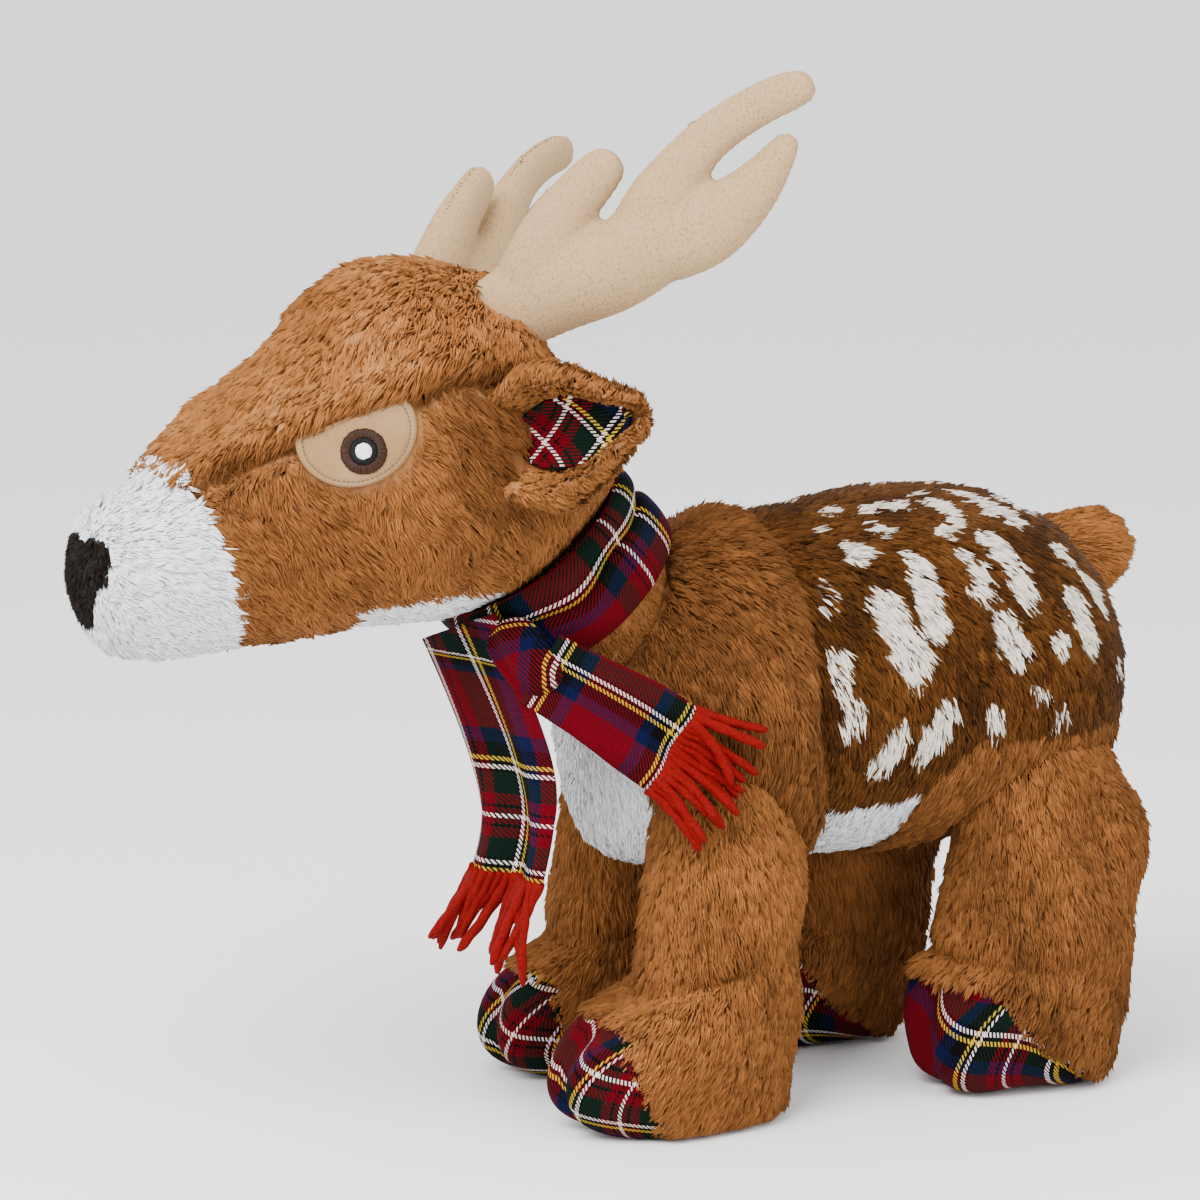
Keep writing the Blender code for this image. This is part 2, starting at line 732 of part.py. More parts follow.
def build_antler(word, side, head):
    """A forked stuffed form grown round a branching line, flattened, on a ball root."""
    name = word + "_antler"
    rows = list(antler_beam_shares)
    links = [(k, k + 1) for k in range(len(rows) - 1)]
    for branch, start in ((antler_upper_shares, 3), (antler_lower_shares, 3), (antler_tine_shares, 1)):
        first = len(rows)
        rows += branch
        links += [(start, first)] + [(k, k + 1) for k in range(first, len(rows) - 1)]
    mesh = bpy.data.meshes.new(name)
    points = [(along * ANTLER_REACH, 0, up * ANTLER_REACH) for along, up, _ in rows]
    mesh.from_pydata(points, links, [])
    frame = antler_frame(side)
    item = place(name, mesh, suede_cloth(), frame @ Matrix.Diagonal((1, ANTLER_FLATNESS_SHARE, 1, 1)))
    item.modifiers.new("grow", "SKIN")
    for k, (_, _, radius) in enumerate(rows):
        node = mesh.skin_vertices[0].data[k]
        node.radius = (radius * ANTLER_REACH, radius * ANTLER_REACH)
        node.use_root = k == 0
    swept_cuts(smooth(item), head, frame.translation, frame.col[1].to_3d(), ANTLER_FLEX)
    join(item, ball(name + "_ball", frame.translation, ANTLER_BALL))
    return ball(name + "_socket", frame.translation, ANTLER_BALL + BALL_CLEARANCE)


# Ears

def ear_frame(side):
    """Local X runs out along the ear, local Y up across it, and local Z out of its cupped face."""
    out = Vector((side * math.cos(EAR_TURN), math.sin(EAR_TURN), math.tan(EAR_RISE))).normalized()
    face = out.cross(Vector((0, 0, 1))).normalized() * side
    up = face.cross(out)
    return axes(out, up, face, (side * EAR_ROOT_X, EAR_ROOT_Y, EAR_ROOT_Z))


def leaf(length, width, margin, lift):
    """A cupped leaf: deepest along its middle line, drawn in by a margin, lifted off the cup."""
    points, faces = [], []
    rows = len(ear_width_shares)
    columns = 4
    for row, share in enumerate(ear_width_shares):
        along = EAR_START + margin + (length - EAR_START - 2 * margin) * row / (rows - 1)
        half = share * (width / 2 - margin)
        for column in range(columns + 1):
            v = 2 * column / columns - 1
            height = (v * half / (width / 2)) ** 2 * EAR_CUP - EAR_CUP * share * (1 - row / rows)
            points.append((along, v * half, height + lift))
    for row in range(rows - 1):
        for column in range(columns):
            a = row * (columns + 1) + column
            faces.append((a, a + columns + 1, a + columns + 2, a + 1))
    return points, faces


def leaf_piece(name, finish, frame, margin, lift, thickness, offset):
    points, faces = leaf(EAR_LENGTH, EAR_WIDTH, margin, lift)
    mesh = bpy.data.meshes.new(name)
    mesh.from_pydata(points, [], faces)
    mesh.shade_smooth()
    item = smooth(place(name, mesh, finish, frame))
    wall = item.modifiers.new("wall", "SOLIDIFY")
    wall.thickness = thickness
    wall.offset = offset
    return item


def build_ear(word, side, head):
    name = word + "_ear"
    frame = ear_frame(side)
    lie = axes((1, 0, 0), (0, 0, -1), (0, 1, 0))
    ear = leaf_piece(name, tan_plush(), frame, 0.0, 0.0, EAR_THICKNESS, -1.0)
    swept_cuts(ear, head, frame.translation, frame.col[1].to_3d(), EAR_FOLD)
    join(ear, rod(name + "_root", frame @ lie, EAR_ROOT_RADIUS, EAR_ROOT_LENGTH))
    lining = name + "_lining"
    lining = leaf_piece(lining, checked_cloth(), frame, LINING_MARGIN, LINING_LIFT, LINING_THICKNESS, 1.0)
    radius = EAR_ROOT_RADIUS + BALL_CLEARANCE
    groove = rod(name + "_groove", frame @ lie, radius, EAR_ROOT_LENGTH + 2 * BALL_CLEARANCE)
    cut(lining, groove)
    return groove


# Legs

def leg_rings(x, y, width, depth, shift, growth):
    made = []
    for up, wide, deep, foot, _, lean in leg_ring_shares:
        inwards = math.copysign(lean * width, x)
        middle = Vector((x - inwards, y - foot * shift, up * LEG_TOP_Z - SOLE_SINK))
        made.append([middle, Vector((wide * width, 0, 0)), Vector((0, deep * depth + foot * growth, 0))])
    return made


def hoof_outline(front, lean):
    """The checked toe and sole in the side view: behind a leaning seam it is a thin sole."""
    ahead = front - REACH
    behind = front + REACH
    return [
        (ahead, -REACH), (behind, -REACH), (behind, SOLE_Z), (front + lean, SOLE_Z),
        (front, HOOF_TOP_Z), (front, REACH), (ahead, REACH),
    ]


def leg_form(name, finish, rings, open_end):
    notches = [row[4] for row in leg_ring_shares]
    return smooth(place(name, ring_cage(name, rings, LIMB_SIDES, open_end, notches), finish))


def build_leg(word, rings, front, lean, keepout, floor):
    """A tan leg skin over stuffing, with a checked toe and sole sewn on."""
    outline = hoof_outline(front, lean)
    hoof_area = prism(word + "_hoof_area", grow(outline, -SEAM_GAP / 2), SIDE_VIEW, REACH)
    hoof_rest = prism(word + "_hoof_rest", grow(outline, SEAM_GAP / 2), SIDE_VIEW, REACH)
    skin = leg_form(word + "_leg_skin", tan_plush(), rings, True)
    cut(walled(skin), hoof_rest, keepout)
    hoof = leg_form(word + "_hoof", checked_cloth(), rings, True)
    cut(keep(walled(hoof), hoof_area), floor)
    stuffing = leg_form(word + "_leg_stuffing", polyester_filling(), rings, False)
    cut(drawn_in(stuffing, SKIN + 2 * SEAM_GAP), keepout)


def build_legs(keepout):
    floor = block("floor", Matrix.Translation((0, 0, -REACH / 2)), (REACH, 2 * REACH, REACH))
    size = (FRONT_LEG_WIDTH, FRONT_LEG_DEPTH, FRONT_FOOT_SHIFT, FRONT_FOOT_GROWTH)
    for word, side, y in (("left_front", 1, FRONT_LEFT_Y), ("right_front", -1, FRONT_RIGHT_Y)):
        rings = leg_rings(side * FRONT_LEG_X, y, *size)
        build_leg(word, rings, y - FRONT_HOOF_FRONT, FRONT_HOOF_LEAN, keepout, floor)
    size = (HIND_LEG_WIDTH, HIND_LEG_DEPTH, HIND_FOOT_SHIFT, HIND_FOOT_GROWTH)
    for word, side, y in (("left_hind", 1, HIND_LEFT_Y), ("right_hind", -1, HIND_RIGHT_Y)):
        rings = leg_rings(side * HIND_LEG_X, y, *size)
        build_leg(word, rings, y - HIND_HOOF_FRONT, HIND_HOOF_LEAN, keepout, floor)


# Tail

def tail_root():
    return Vector((0, TAIL_ROOT_Y, TAIL_ROOT_Z))


def build_tail(keepout):
    along = Vector((0, math.cos(TAIL_DROP), -math.sin(TAIL_DROP)))
    up = Vector((0, math.sin(TAIL_DROP), math.cos(TAIL_DROP)))
    rings = []
    for share, wide, high in tail_ring_shares:
        middle = tail_root() + along * (share * TAIL_LENGTH)
        rings.append([middle, Vector((wide * TAIL_RADIUS, 0, 0)), up * (high * TAIL_RADIUS)])
    tail = smooth(place("tail", ring_cage("tail", rings, LIMB_SIDES), tan_plush()))
    swept_cuts(tail, keepout, tail_root(), Vector((0, 0, 1)), TAIL_WAG)
    boolean(tail, "UNION", ball("tail_ball", tail_root(), TAIL_BALL), solver="MANIFOLD")
    return ball("tail_socket", tail_root(), TAIL_BALL + BALL_CLEARANCE)


# Scarf

def turned_band(name, finish):
    """The band's profile turned round the neck's axis."""
    inner = NECK_RADIUS + BAND_CLEARANCE
    points = []
    for down, out in band_profile_shares:
        points.append((inner + out * BAND_THICKNESS, 0, -BAND_DROP - down * BAND_WIDTH))
    count = len(points)
    mesh = bpy.data.meshes.new(name)
    mesh.from_pydata(points, [(k, (k + 1) % count) for k in range(count)], [])
    item = place(name, mesh, finish, neck_frame(neck_top()))
    turn = item.modifiers.new("turn", "SCREW")
    turn.angle = 2 * math.pi
    turn.steps = BAND_STEPS
    turn.render_steps = BAND_STEPS
    turn.use_merge_vertices = True
    turn.merge_threshold = 0.0001
    turn.use_normal_calculate = True
    return item


def build_knot(above, keepout, drum, grooves):
    turn = Matrix.Rotation(KNOT_TURN, 4, "Z")
    middle = Vector((KNOT_X, KNOT_Y, KNOT_Z))
    side = turn @ Vector((KNOT_WIDTH / 2, 0, 0))
    deep = turn @ Vector((0, KNOT_DEPTH / 2, 0))
    rings = []
    for step in (-0.94, -0.55, 0.0, 0.55, 0.94):
        share = math.sqrt(1 - step * step)
        rings.append([middle + Vector((0, 0, step * KNOT_HEIGHT / 2)), side * share, deep * share])
    knot = smooth(place("scarf_knot", ring_cage("scarf_knot", rings, LIMB_SIDES), checked_cloth()))
    cut(knot, drum, above, keepout, *grooves)


def end_line(start, length, line_shares):
    return [Vector(start) + Vector((out, back, -down)) * length for out, back, down in line_shares]


def strip_rows(line, across, width, wave):
    """Rows of points across a hanging strip that is waved across its width."""
    rows = []
    for k, (spot, wide, waved) in enumerate(zip(line, end_width_shares, end_wave_shares)):
        along = line[min(k + 1, len(line) - 1)] - line[max(k - 1, 0)]
        out = across.cross(along).normalized()
        row = []
        for column in range(STRIP_COLUMNS + 1):
            v = 2 * column / STRIP_COLUMNS - 1
            ripple = waved * wave * math.cos(1.5 * math.pi * v)
            row.append(spot + across * (v * wide * width / 2) + out * ripple)
        rows.append(row)
    return rows


def strip(name, rows, finish, thickness):
    columns = len(rows[0])
    faces = [
        (r * columns + c, r * columns + c + 1, (r + 1) * columns + c + 1, (r + 1) * columns + c)
        for r in range(len(rows) - 1) for c in range(columns - 1)
    ]
    mesh = bpy.data.meshes.new(name)
    mesh.from_pydata([tuple(p) for row in rows for p in row], [], faces)
    item = place(name, mesh, finish)
    if len(rows) > 2:
        smooth(item)
    wall = item.modifiers.new("wall", "SOLIDIFY")
    wall.thickness = thickness
    wall.offset = 0.0
    return item


def strands(name, rows):
    """Yarn that hangs from a hem, side by side, each strand a tapering rod."""
    hem = rows[-1]
    along = (rows[-1][STRIP_COLUMNS // 2] - rows[-2][STRIP_COLUMNS // 2]).normalized()
    across = (hem[-1] - hem[0]).normalized()
    out = across.cross(along).normalized()
    points, faces = [], []
    sides = YARN_SIDES
    last = len(fringe_radius_shares) - 1
    for strand in range(FRINGE_COUNT):
        share = (strand + 0.5) / FRINGE_COUNT * (len(hem) - 1)
        k = int(share)
        start = hem[k].lerp(hem[k + 1], share - k) + along * (SEAM_GAP + HEM_DEPTH - HEM_BITE)
        v = (2 * strand + 1) / FRINGE_COUNT - 1
        lean = (along + across * (v * FRINGE_SPLAY)).normalized()
        first = len(points)
        for row, radius in enumerate(fringe_radius_shares):
            for k in range(sides):
                turn = 2 * math.pi * k / sides
                ray = across * math.cos(turn) + out * math.sin(turn)
                centre = start + lean * (FRINGE_LENGTH * row / last)
                points.append(centre + ray * (radius * FRINGE_YARN / 2))
        faces.append(tuple(range(first, first + sides)))
        faces.append(tuple(range(len(points) - sides, len(points))))
        for row in range(last):
            for k in range(sides):
                a = first + row * sides + k
                b = first + row * sides + (k + 1) % sides
                faces.append((a, b, b + sides, a + sides))
    return place(name, closed_mesh(name, points, faces))


def build_end(word, line, across, width, wave, keepout, drum):
    """One hanging end of the scarf, and its fringe sewn into a hem below it."""
    rows = strip_rows(line, across, width, wave)
    cloth = strip("scarf_" + word + "_end", rows, checked_cloth(), CLOTH_THICKNESS)
    cut(cloth, keepout, drum)
    along = (rows[-1][STRIP_COLUMNS // 2] - rows[-2][STRIP_COLUMNS // 2]).normalized()
    hem = [[p + along * down for p in rows[-1]] for down in (SEAM_GAP, SEAM_GAP + HEM_DEPTH)]
    yarn = strip("scarf_" + word + "_fringe", hem, red_yarn(), CLOTH_THICKNESS)
    join(yarn, strands("scarf_" + word + "_strands", rows))
    radius = CLOTH_THICKNESS / 2 + END_START_GAP
    out = across.cross(line[0] - line[1]).normalized()
    return rod("scarf_" + word + "_groove", axes(out, across.cross(out), across, line[0]), radius, width)


def build_scarf(above, keepout):
    radius = NECK_RADIUS + BAND_CLEARANCE + BAND_THICKNESS + SEAM_GAP
    middle = neck_top() - neck_axis() * (BAND_DROP + BAND_WIDTH / 2)
    drum = rod("band_keepout", neck_frame(middle), radius, BAND_WIDTH * 2, BAND_STEPS)
    front_line = end_line((FRONT_END_X, FRONT_END_Y, FRONT_END_Z), FRONT_END_LENGTH, front_end_line_shares)
    side_line = end_line((SIDE_END_X, SIDE_END_Y, SIDE_END_Z), SIDE_END_LENGTH, side_end_line_shares)
    front_across = Vector((math.cos(FRONT_END_TURN), math.sin(FRONT_END_TURN), 0))
    side_across = Vector((0, math.cos(SIDE_END_TILT), math.sin(SIDE_END_TILT)))
    ends = [
        ("front", front_line, front_across, FRONT_END_WIDTH, FRONT_END_WAVE),
        ("side", side_line, side_across, SIDE_END_WIDTH, SIDE_END_WAVE),
    ]
    grooves = [build_end(*end, keepout, drum) for end in ends]
    cut(turned_band("scarf_band", checked_cloth()), keepout)
    build_knot(above, keepout, drum, grooves)


def main():
    start_scene()
    keepout = torso_keepout()
    above = half_space("above_neck", 1, SEAM_GAP / 2)
    below = half_space("below_head", -1, -SEAM_GAP / 2)
    above_scarf = half_space("above_scarf", 1, -BAND_DROP)
    build_torso(build_tail(keepout))
    build_neck(keepout, above)
    head = drawn_in(head_form("head_keepout"), -BALL_CLEARANCE)
    sockets = [build(word, side, head) for build in (build_antler, build_ear) for word, side in SIDES]
    build_head(below, sockets)
    guide = head_form("head_guide")
    for word, side in SIDES:
        build_eye(word, side, guide)
    build_legs(keepout)
    build_scarf(above_scarf, keepout)


main()
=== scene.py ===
"""Looks of the plush deer with a scarf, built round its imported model.

Plush is a filled form with a pile of tapered strands combed over it. The scarf, ears and toes are checked
cloth, the antlers microsuede, and the eyes satin stitch on suede. All sizes are in metres, in the frame of
the model.
"""

import math

import bpy
import numpy as np
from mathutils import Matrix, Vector


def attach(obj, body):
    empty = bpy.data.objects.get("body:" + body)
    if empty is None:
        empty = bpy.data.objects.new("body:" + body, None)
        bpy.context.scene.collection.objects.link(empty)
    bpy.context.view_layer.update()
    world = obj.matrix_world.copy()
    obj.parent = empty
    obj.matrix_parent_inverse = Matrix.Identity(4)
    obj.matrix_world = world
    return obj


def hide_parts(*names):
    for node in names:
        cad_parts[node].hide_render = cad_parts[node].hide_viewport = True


bl_info = {
    "name": "Plush deer",
    "version": (1, 0, 0),
    "blender": (4, 5, 0),
    "location": "3D View > Sidebar > Plush deer",
    "description": "Builds the plush, cloth, suede and thread of a toy deer round its packed model",
    "category": "Add Mesh",
}

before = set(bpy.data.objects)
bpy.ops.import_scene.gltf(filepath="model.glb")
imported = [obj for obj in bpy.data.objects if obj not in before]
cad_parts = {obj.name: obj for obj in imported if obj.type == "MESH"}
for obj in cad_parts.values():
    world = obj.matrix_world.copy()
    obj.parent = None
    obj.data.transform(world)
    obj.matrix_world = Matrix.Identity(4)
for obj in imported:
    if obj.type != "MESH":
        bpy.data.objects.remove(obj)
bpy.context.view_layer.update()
SIDES = (("left", 1), ("right", -1))


def colour(text):
    """Linear colour of a hex sRGB value."""
    parts = [int(text[i:i + 2], 16) / 255 for i in (0, 2, 4)]
    return [c / 12.92 if c <= 0.04045 else ((c + 0.055) / 1.055) ** 2.4 for c in parts] + [1.0]


def tint(name, text, description):
    """A colour that a user may change."""
    return bpy.props.FloatVectorProperty(
        name=name, description=description, subtype="COLOR", size=4, min=0, max=1, default=colour(text))


def number(name, default, description, **more):
    """A plain number that a user may change."""
    return bpy.props.FloatProperty(name=name, description=description, default=default, **more)


def span(name, default, description):
    """A length that a user may change."""
    return number(name, default, description, min=0, unit="LENGTH", precision=5)


class PlushSettings(bpy.types.PropertyGroup):
    """The pile of the plush and its colours."""
    pile_length: span("Pile length", 0.0098, "Length of a strand on the body")
    pile_width: span("Strand width", 0.00052, "Width of a strand at its middle")
    clump: span("Clump", 0.0036, "Distance between the tufts that strands lean towards")
    density: number("Density", 1.7, "Strands on a square millimetre", min=0.05)
    tan_dark: tint("Tan, dark", "59361A", "Darkest strands of the tan plush")
    tan_mid: tint("Tan", "8F5A2E", "Usual strands of the tan plush")
    tan_light: tint("Tan, light", "A9794B", "Lightest strands of the tan plush")
    saddle_dark: tint("Saddle, dark", "2E1805", "Darkest strands of the brown saddle")
    saddle_mid: tint("Saddle", "512F10", "Usual strands of the brown saddle")
    saddle_light: tint("Saddle, light", "66401A", "Lightest strands of the brown saddle")
    spot: tint("Spots", "DCD2C6", "Strands in the saddle's spots")
    white_dark: tint("White, shaded", "BDBFC6", "Darkest strands of the white plush")
    white: tint("White", "ECEDF0", "Usual strands of the white plush")
    black: tint("Black", "15110E", "Strands of the nose")


class SuedeSettings(bpy.types.PropertyGroup):
    """The antlers and the eye patches."""
    light: tint("Suede, light", "A98B65", "Nap that stands up")
    dark: tint("Suede, dark", "886E4A", "Nap that lies down")
    rosy: tint("Suede, rosy", "A5876A", "Worn places")
    patch: tint("Eye patch", "8B6B48", "Suede round the eye")
    grain: span("Grain", 0.0009, "Width of the suede's grain, drawn coarse enough to show")
    iris: tint("Iris", "321A0C", "Thread of the eye's outer ring")
    pupil: tint("Pupil", "050404", "Thread of the eye's inner ring")
    glint: tint("Glint", "F3F4F6", "Thread of the eye's white dot")


class ScarfSettings(bpy.types.PropertyGroup):
    """The checked cloth and the yarn."""
    twill: span("Twill", 0.0016, "Distance between the twill's diagonals, drawn coarse enough to show")
    thickness: span("Cloth thickness", 0.0012, "Thickness of the cloth")
    yarn: span("Yarn radius", 0.00155, "Radius of a fringe strand")
    red: tint("Red", "4E010A", "Red thread of the check")
    black: tint("Black", "050304", "Black thread of the check")
    green: tint("Green", "05140D", "Dark green thread of the check")
    navy: tint("Navy", "060B2C", "Blue thread of the check")
    cream: tint("Cream", "C4B8B2", "Thread of the pale line")
    gold: tint("Gold", "A88A1E", "Thread of the yellow line")
    yarn_red: tint("Yarn red", "6E0000", "Fringe yarn")


class StudioSettings(bpy.types.PropertyGroup):
    """Camera, floor and lights."""
    azimuth: number("Azimuth", math.radians(64), "Camera's turn round the deer", subtype="ANGLE")
    elevation: number("Elevation", math.radians(9), "Camera's height as an angle", subtype="ANGLE")
    distance: span("Distance", 1.5, "Distance from camera to target")
    lens: number("Lens", 135.0, "Focal length in millimetres", min=10)
    key: number("Key light", 42.0, "Power of the large light", unit="POWER")
    fill: number("Fill light", 7.0, "Power of the light from the other side", unit="POWER")
    sky: number("Sky", 1.75, "Strength of the light all round")
    floor: tint("Floor", "F2F2F2", "Pale floor")


# Meshes from whole arrays

def unit(vectors):
    return vectors / np.maximum(np.linalg.norm(vectors, axis=-1, keepdims=True), 1e-12)


def fill_mesh(name, points, faces, finishes, maps=None, face_finish=None):
    """A smooth mesh from points and lists of equal-sided faces. Maps hold a pair for each corner, in the
    faces' order."""
    mesh = bpy.data.meshes.new(name)
    sizes = np.concatenate([np.full(len(f), f.shape[1]) for f in faces])
    corners = np.concatenate([f.ravel() for f in faces]).astype(np.int32)
    mesh.vertices.add(len(points))
    mesh.vertices.foreach_set("co", np.asarray(points, np.float32).ravel())
    mesh.loops.add(len(corners))
    mesh.loops.foreach_set("vertex_index", corners)
    mesh.polygons.add(len(sizes))
    mesh.polygons.foreach_set("loop_start", np.concatenate([[0], np.cumsum(sizes)[:-1]]).astype(np.int32))
    for key, pairs in (maps or {}).items():
        mesh.uv_layers.new(name=key).data.foreach_set("uv", np.asarray(pairs, np.float32).ravel())
    for finish in finishes:
        mesh.materials.append(finish)
    if face_finish is not None:
        mesh.polygons.foreach_set("material_index", face_finish.astype(np.int32))
    mesh.update(calc_edges=True)
    mesh.shade_smooth()
    made = bpy.data.objects.new(name, mesh)
    bpy.context.scene.collection.objects.link(made)
    return made


def grid_faces(rows, columns, first=0, round_it=True):
    """Quads of a grid of rows by columns, closed across its columns when it goes round."""
    r, c = np.meshgrid(np.arange(rows - 1), np.arange(columns if round_it else columns - 1), indexing="ij")
    n = (c + 1) % columns
    quads = np.stack([r * columns + c, r * columns + n, (r + 1) * columns + n, (r + 1) * columns + c], -1)
    return quads.reshape(-1, 4) + first


def closed_form(name, points, finishes, choose=None):
    """A closed form from a grid that goes round: quads between its rows, and a fan of triangles to the
    single point that its first and its last row each are. Choose gives each face's finish from its
    middle."""
    rows, columns = points.shape[:2]
    inner = points[1:-1].reshape(-1, 3)
    flat = np.concatenate([points[:1, 0], inner, points[-1:, 0]])
    k = np.arange(columns)
    n = (k + 1) % columns
    last = len(flat) - 1
    low = np.stack([np.zeros_like(k), 1 + n, 1 + k], -1)
    high = np.stack([np.full_like(k, last), last - columns + k, last - columns + n], -1)
    quads = grid_faces(rows - 2, columns, 1)
    pick = None
    if choose is not None:
        pick = np.concatenate([choose(flat[f].mean(1)) for f in (low, quads, high)])
    return fill_mesh(name, flat, [low, quads, high], finishes, face_finish=pick)


def tubes(name, paths, radii, sides, finishes, ripple=0.0, turns=0.0, up=None):
    """Closed tubes along many paths at once: paths is strands by rows by 3. A point lies on the ring round
    its path, at radius times one plus a ripple of three lobes, which turn along the way as plied yarn
    does."""
    strands, rows = paths.shape[:2]
    ahead = unit(np.gradient(paths, axis=1))
    hint = np.broadcast_to(np.array([0.31, 0.17, 0.93]) if up is None else up, paths.shape)
    side = unit(np.cross(hint, ahead))
    over = np.cross(ahead, side)
    angle = np.linspace(0, 2 * np.pi, sides, endpoint=False)
    along = np.linspace(0, 1, rows)[None, :, None]
    wave = 1 + ripple * np.cos(3 * angle[None, None, :] + turns * 2 * np.pi * along)
    size = (radii[..., None] * wave)[..., None]
    ring = paths[:, :, None] + size * (
        np.cos(angle)[None, None, :, None] * side[:, :, None]
        + np.sin(angle)[None, None, :, None] * over[:, :, None])
    block = rows * sides + 2
    points = np.concatenate([ring.reshape(strands, -1, 3), paths[:, :1], paths[:, -1:]], 1)
    quads = grid_faces(rows, sides)
    k = np.arange(sides)
    n = (k + 1) % sides
    ends = np.concatenate([
        np.stack([np.full_like(k, block - 2), n, k], -1),
        np.stack([np.full_like(k, block - 1), (rows - 1) * sides + k, (rows - 1) * sides + n], -1)])
    shift = (np.arange(strands) * block)[:, None, None]
    row, column = np.divmod(quads, sides)
    share = column / sides
    share[:, 1:3] = np.where(column[:, 1:3] == 0, 1.0, share[:, 1:3])
    walls = np.broadcast_to(np.stack([share, row / (rows - 1)], -1), (strands, *share.shape, 2))
    caps = np.zeros((strands, len(ends), 3, 2))
    caps[..., 0] = 0.5 + np.array([0.0, 0.004, -0.004])
    first_end = np.arange(len(ends)) < sides
    caps[..., 1] = np.where(first_end, 0.01, 0.99)[None, :, None] + np.array([0.0, 0.004, 0.004])
    faces = [(quads[None] + shift).reshape(-1, 4), (ends[None] + shift).reshape(-1, 3)]
    pairs = np.concatenate([walls.reshape(-1, 2), caps.reshape(-1, 2)])
    return fill_mesh(name, points.reshape(-1, 3), faces, finishes, {"Yarn": pairs})


def baked(piece):
    """Puts a piece's modifiers into its mesh."""
    seen = piece.evaluated_get(bpy.context.evaluated_depsgraph_get())
    mesh = bpy.data.meshes.new_from_object(seen)
    piece.modifiers.clear()
    piece.data = mesh


def vectors_of(values, key, count):
    """The vectors that a mesh's list holds, as an array."""
    flat = np.zeros(count * 3, np.float32)
    values.foreach_get(key, flat)
    return flat.reshape(-1, 3).astype(float)


def points_of(piece):
    return vectors_of(piece.data.vertices, "co", len(piece.data.vertices))


def normals_of(piece):
    return vectors_of(piece.data.vertex_normals, "vector", len(piece.data.vertices))


def set_points(piece, points):
    piece.data.vertices.foreach_set("co", np.asarray(points, np.float32).ravel())
    piece.data.update()


def thicken(piece, offset=0):
    """Gives cloth its wall: offset 0 lays it on both sides of the sheet, and -1 inside."""
    wall = piece.modifiers.new("cloth_thickness", "SOLIDIFY")
    wall.thickness = bpy.context.scene.deer_scarf.thickness
    wall.offset = offset


def dress(piece, slot, body, *nodes):
    """Says which body a piece rides on and which of the model's nodes it replaces, and hides those nodes. The
    slot is not used."""
    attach(piece, body)
    if nodes:
        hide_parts(*nodes)


# Forms: rings along a middle line, as the model's own source has them

def spline(rows, t):
    """A uniform cubic B-spline at places t counted in rows: four neighbouring rows, weighted by the cubes
    of how far the place lies between them."""
    k = np.floor(t).astype(int)
    f = (t - k)[:, None]
    weights = ((1 - f) ** 3, 3 * f ** 3 - 6 * f ** 2 + 4, -3 * f ** 3 + 3 * f ** 2 + 3 * f + 1, f ** 3)
    return sum(w * rows[k + step] for step, w in zip((-1, 0, 1, 2), weights)) / 6


def form(rings, axis, rows=96):
    """Middle, side and up vectors along a closed loft. Past each end the rings go on mirrored through the
    middle, so that the surface closes there as smoothly as a filled skin does."""
    rings = np.array(rings, float)
    flip = np.array([1, 1, 1, -1, -1, -1, -1, -1, -1.0])
    ext = np.concatenate([rings[2::-1] * flip, rings, rings[:-4:-1] * flip])
    t = np.linspace(-0.5, len(rings) - 0.5, rows) + 3
    t[-1] -= 1e-9
    got = spline(ext, t)
    middle, side, up = got[:, :3], got[:, 3:6], got[:, 6:]
    axis = np.array(axis, float)
    return {"middle": middle, "side": side, "up": up, "axis": axis, "along": middle @ axis, "row": t - 3}


def level(shape, points):
    """How far out points lie in a form: 0 on its middle line, 1 on its skin, and 9 past its ends."""
    along = points @ shape["axis"]
    where = np.interp(along, shape["along"], np.arange(len(shape["along"])))
    low = np.clip(where.astype(int), 0, len(shape["along"]) - 2)
    f = (where - low)[..., None]
    middle, side, up = (shape[k][low] * (1 - f) + shape[k][low + 1] * f for k in ("middle", "side", "up"))
    gap = points - middle
    across = (gap * side).sum(-1) / np.maximum((side ** 2).sum(-1), 1e-12)
    over = (gap * up).sum(-1) / np.maximum((up ** 2).sum(-1), 1e-12)
    outside = (along < shape["along"][0]) | (along > shape["along"][-1])
    return np.where(outside, 9.0, np.hypot(across, over))


def surface(shape, columns=128, start=-math.pi / 2):
    """Points of a form on a grid, an ellipse to each row: middle plus cosine times side plus sine times up,
    from a start angle round."""
    angle = start + np.linspace(0, 2 * np.pi, columns, endpoint=False)
    points = (shape["middle"][:, None] + np.cos(angle)[None, :, None] * shape["side"][:, None]
              + np.sin(angle)[None, :, None] * shape["up"][:, None])
    points[0] = points[0].mean(0)
    points[-1] = points[-1].mean(0)
    return points, angle


def grid_normals(points):
    """Outward normals of a grid that goes round, from the cross of its two directions."""
    along = np.gradient(points, axis=0)
    round_it = np.roll(points, -1, 1) - np.roll(points, 1, 1)
    normals = np.cross(round_it, along)
    normals[0] = normals[1].mean(0)
    normals[-1] = normals[-2].mean(0)
    normals = unit(normals)
    centre = points.mean(1, keepdims=True)
    if ((points - centre) * normals)[4:-4].sum() < 0:
        normals = -normals
    return normals


def hill(x, width):
    return np.exp(-(x / width) ** 2)


def step(x, low, high):
    t = np.clip((x - low) / (high - low), 0, 1)
    return t * t * (3 - 2 * t)


def waves(points, size, seed, count=10):
    """Smooth noise of about -1 to 1: a sum of sines along random directions, with lengths about the given
    size."""
    rng = np.random.default_rng(seed)
    ways = unit(rng.normal(size=(count, 3))) * (2 * np.pi / size) * rng.uniform(0.6, 1.5, (count, 1))
    return np.sin(points @ ways.T + rng.uniform(0, 2 * np.pi, count)).sum(-1) / math.sqrt(count / 1.2)


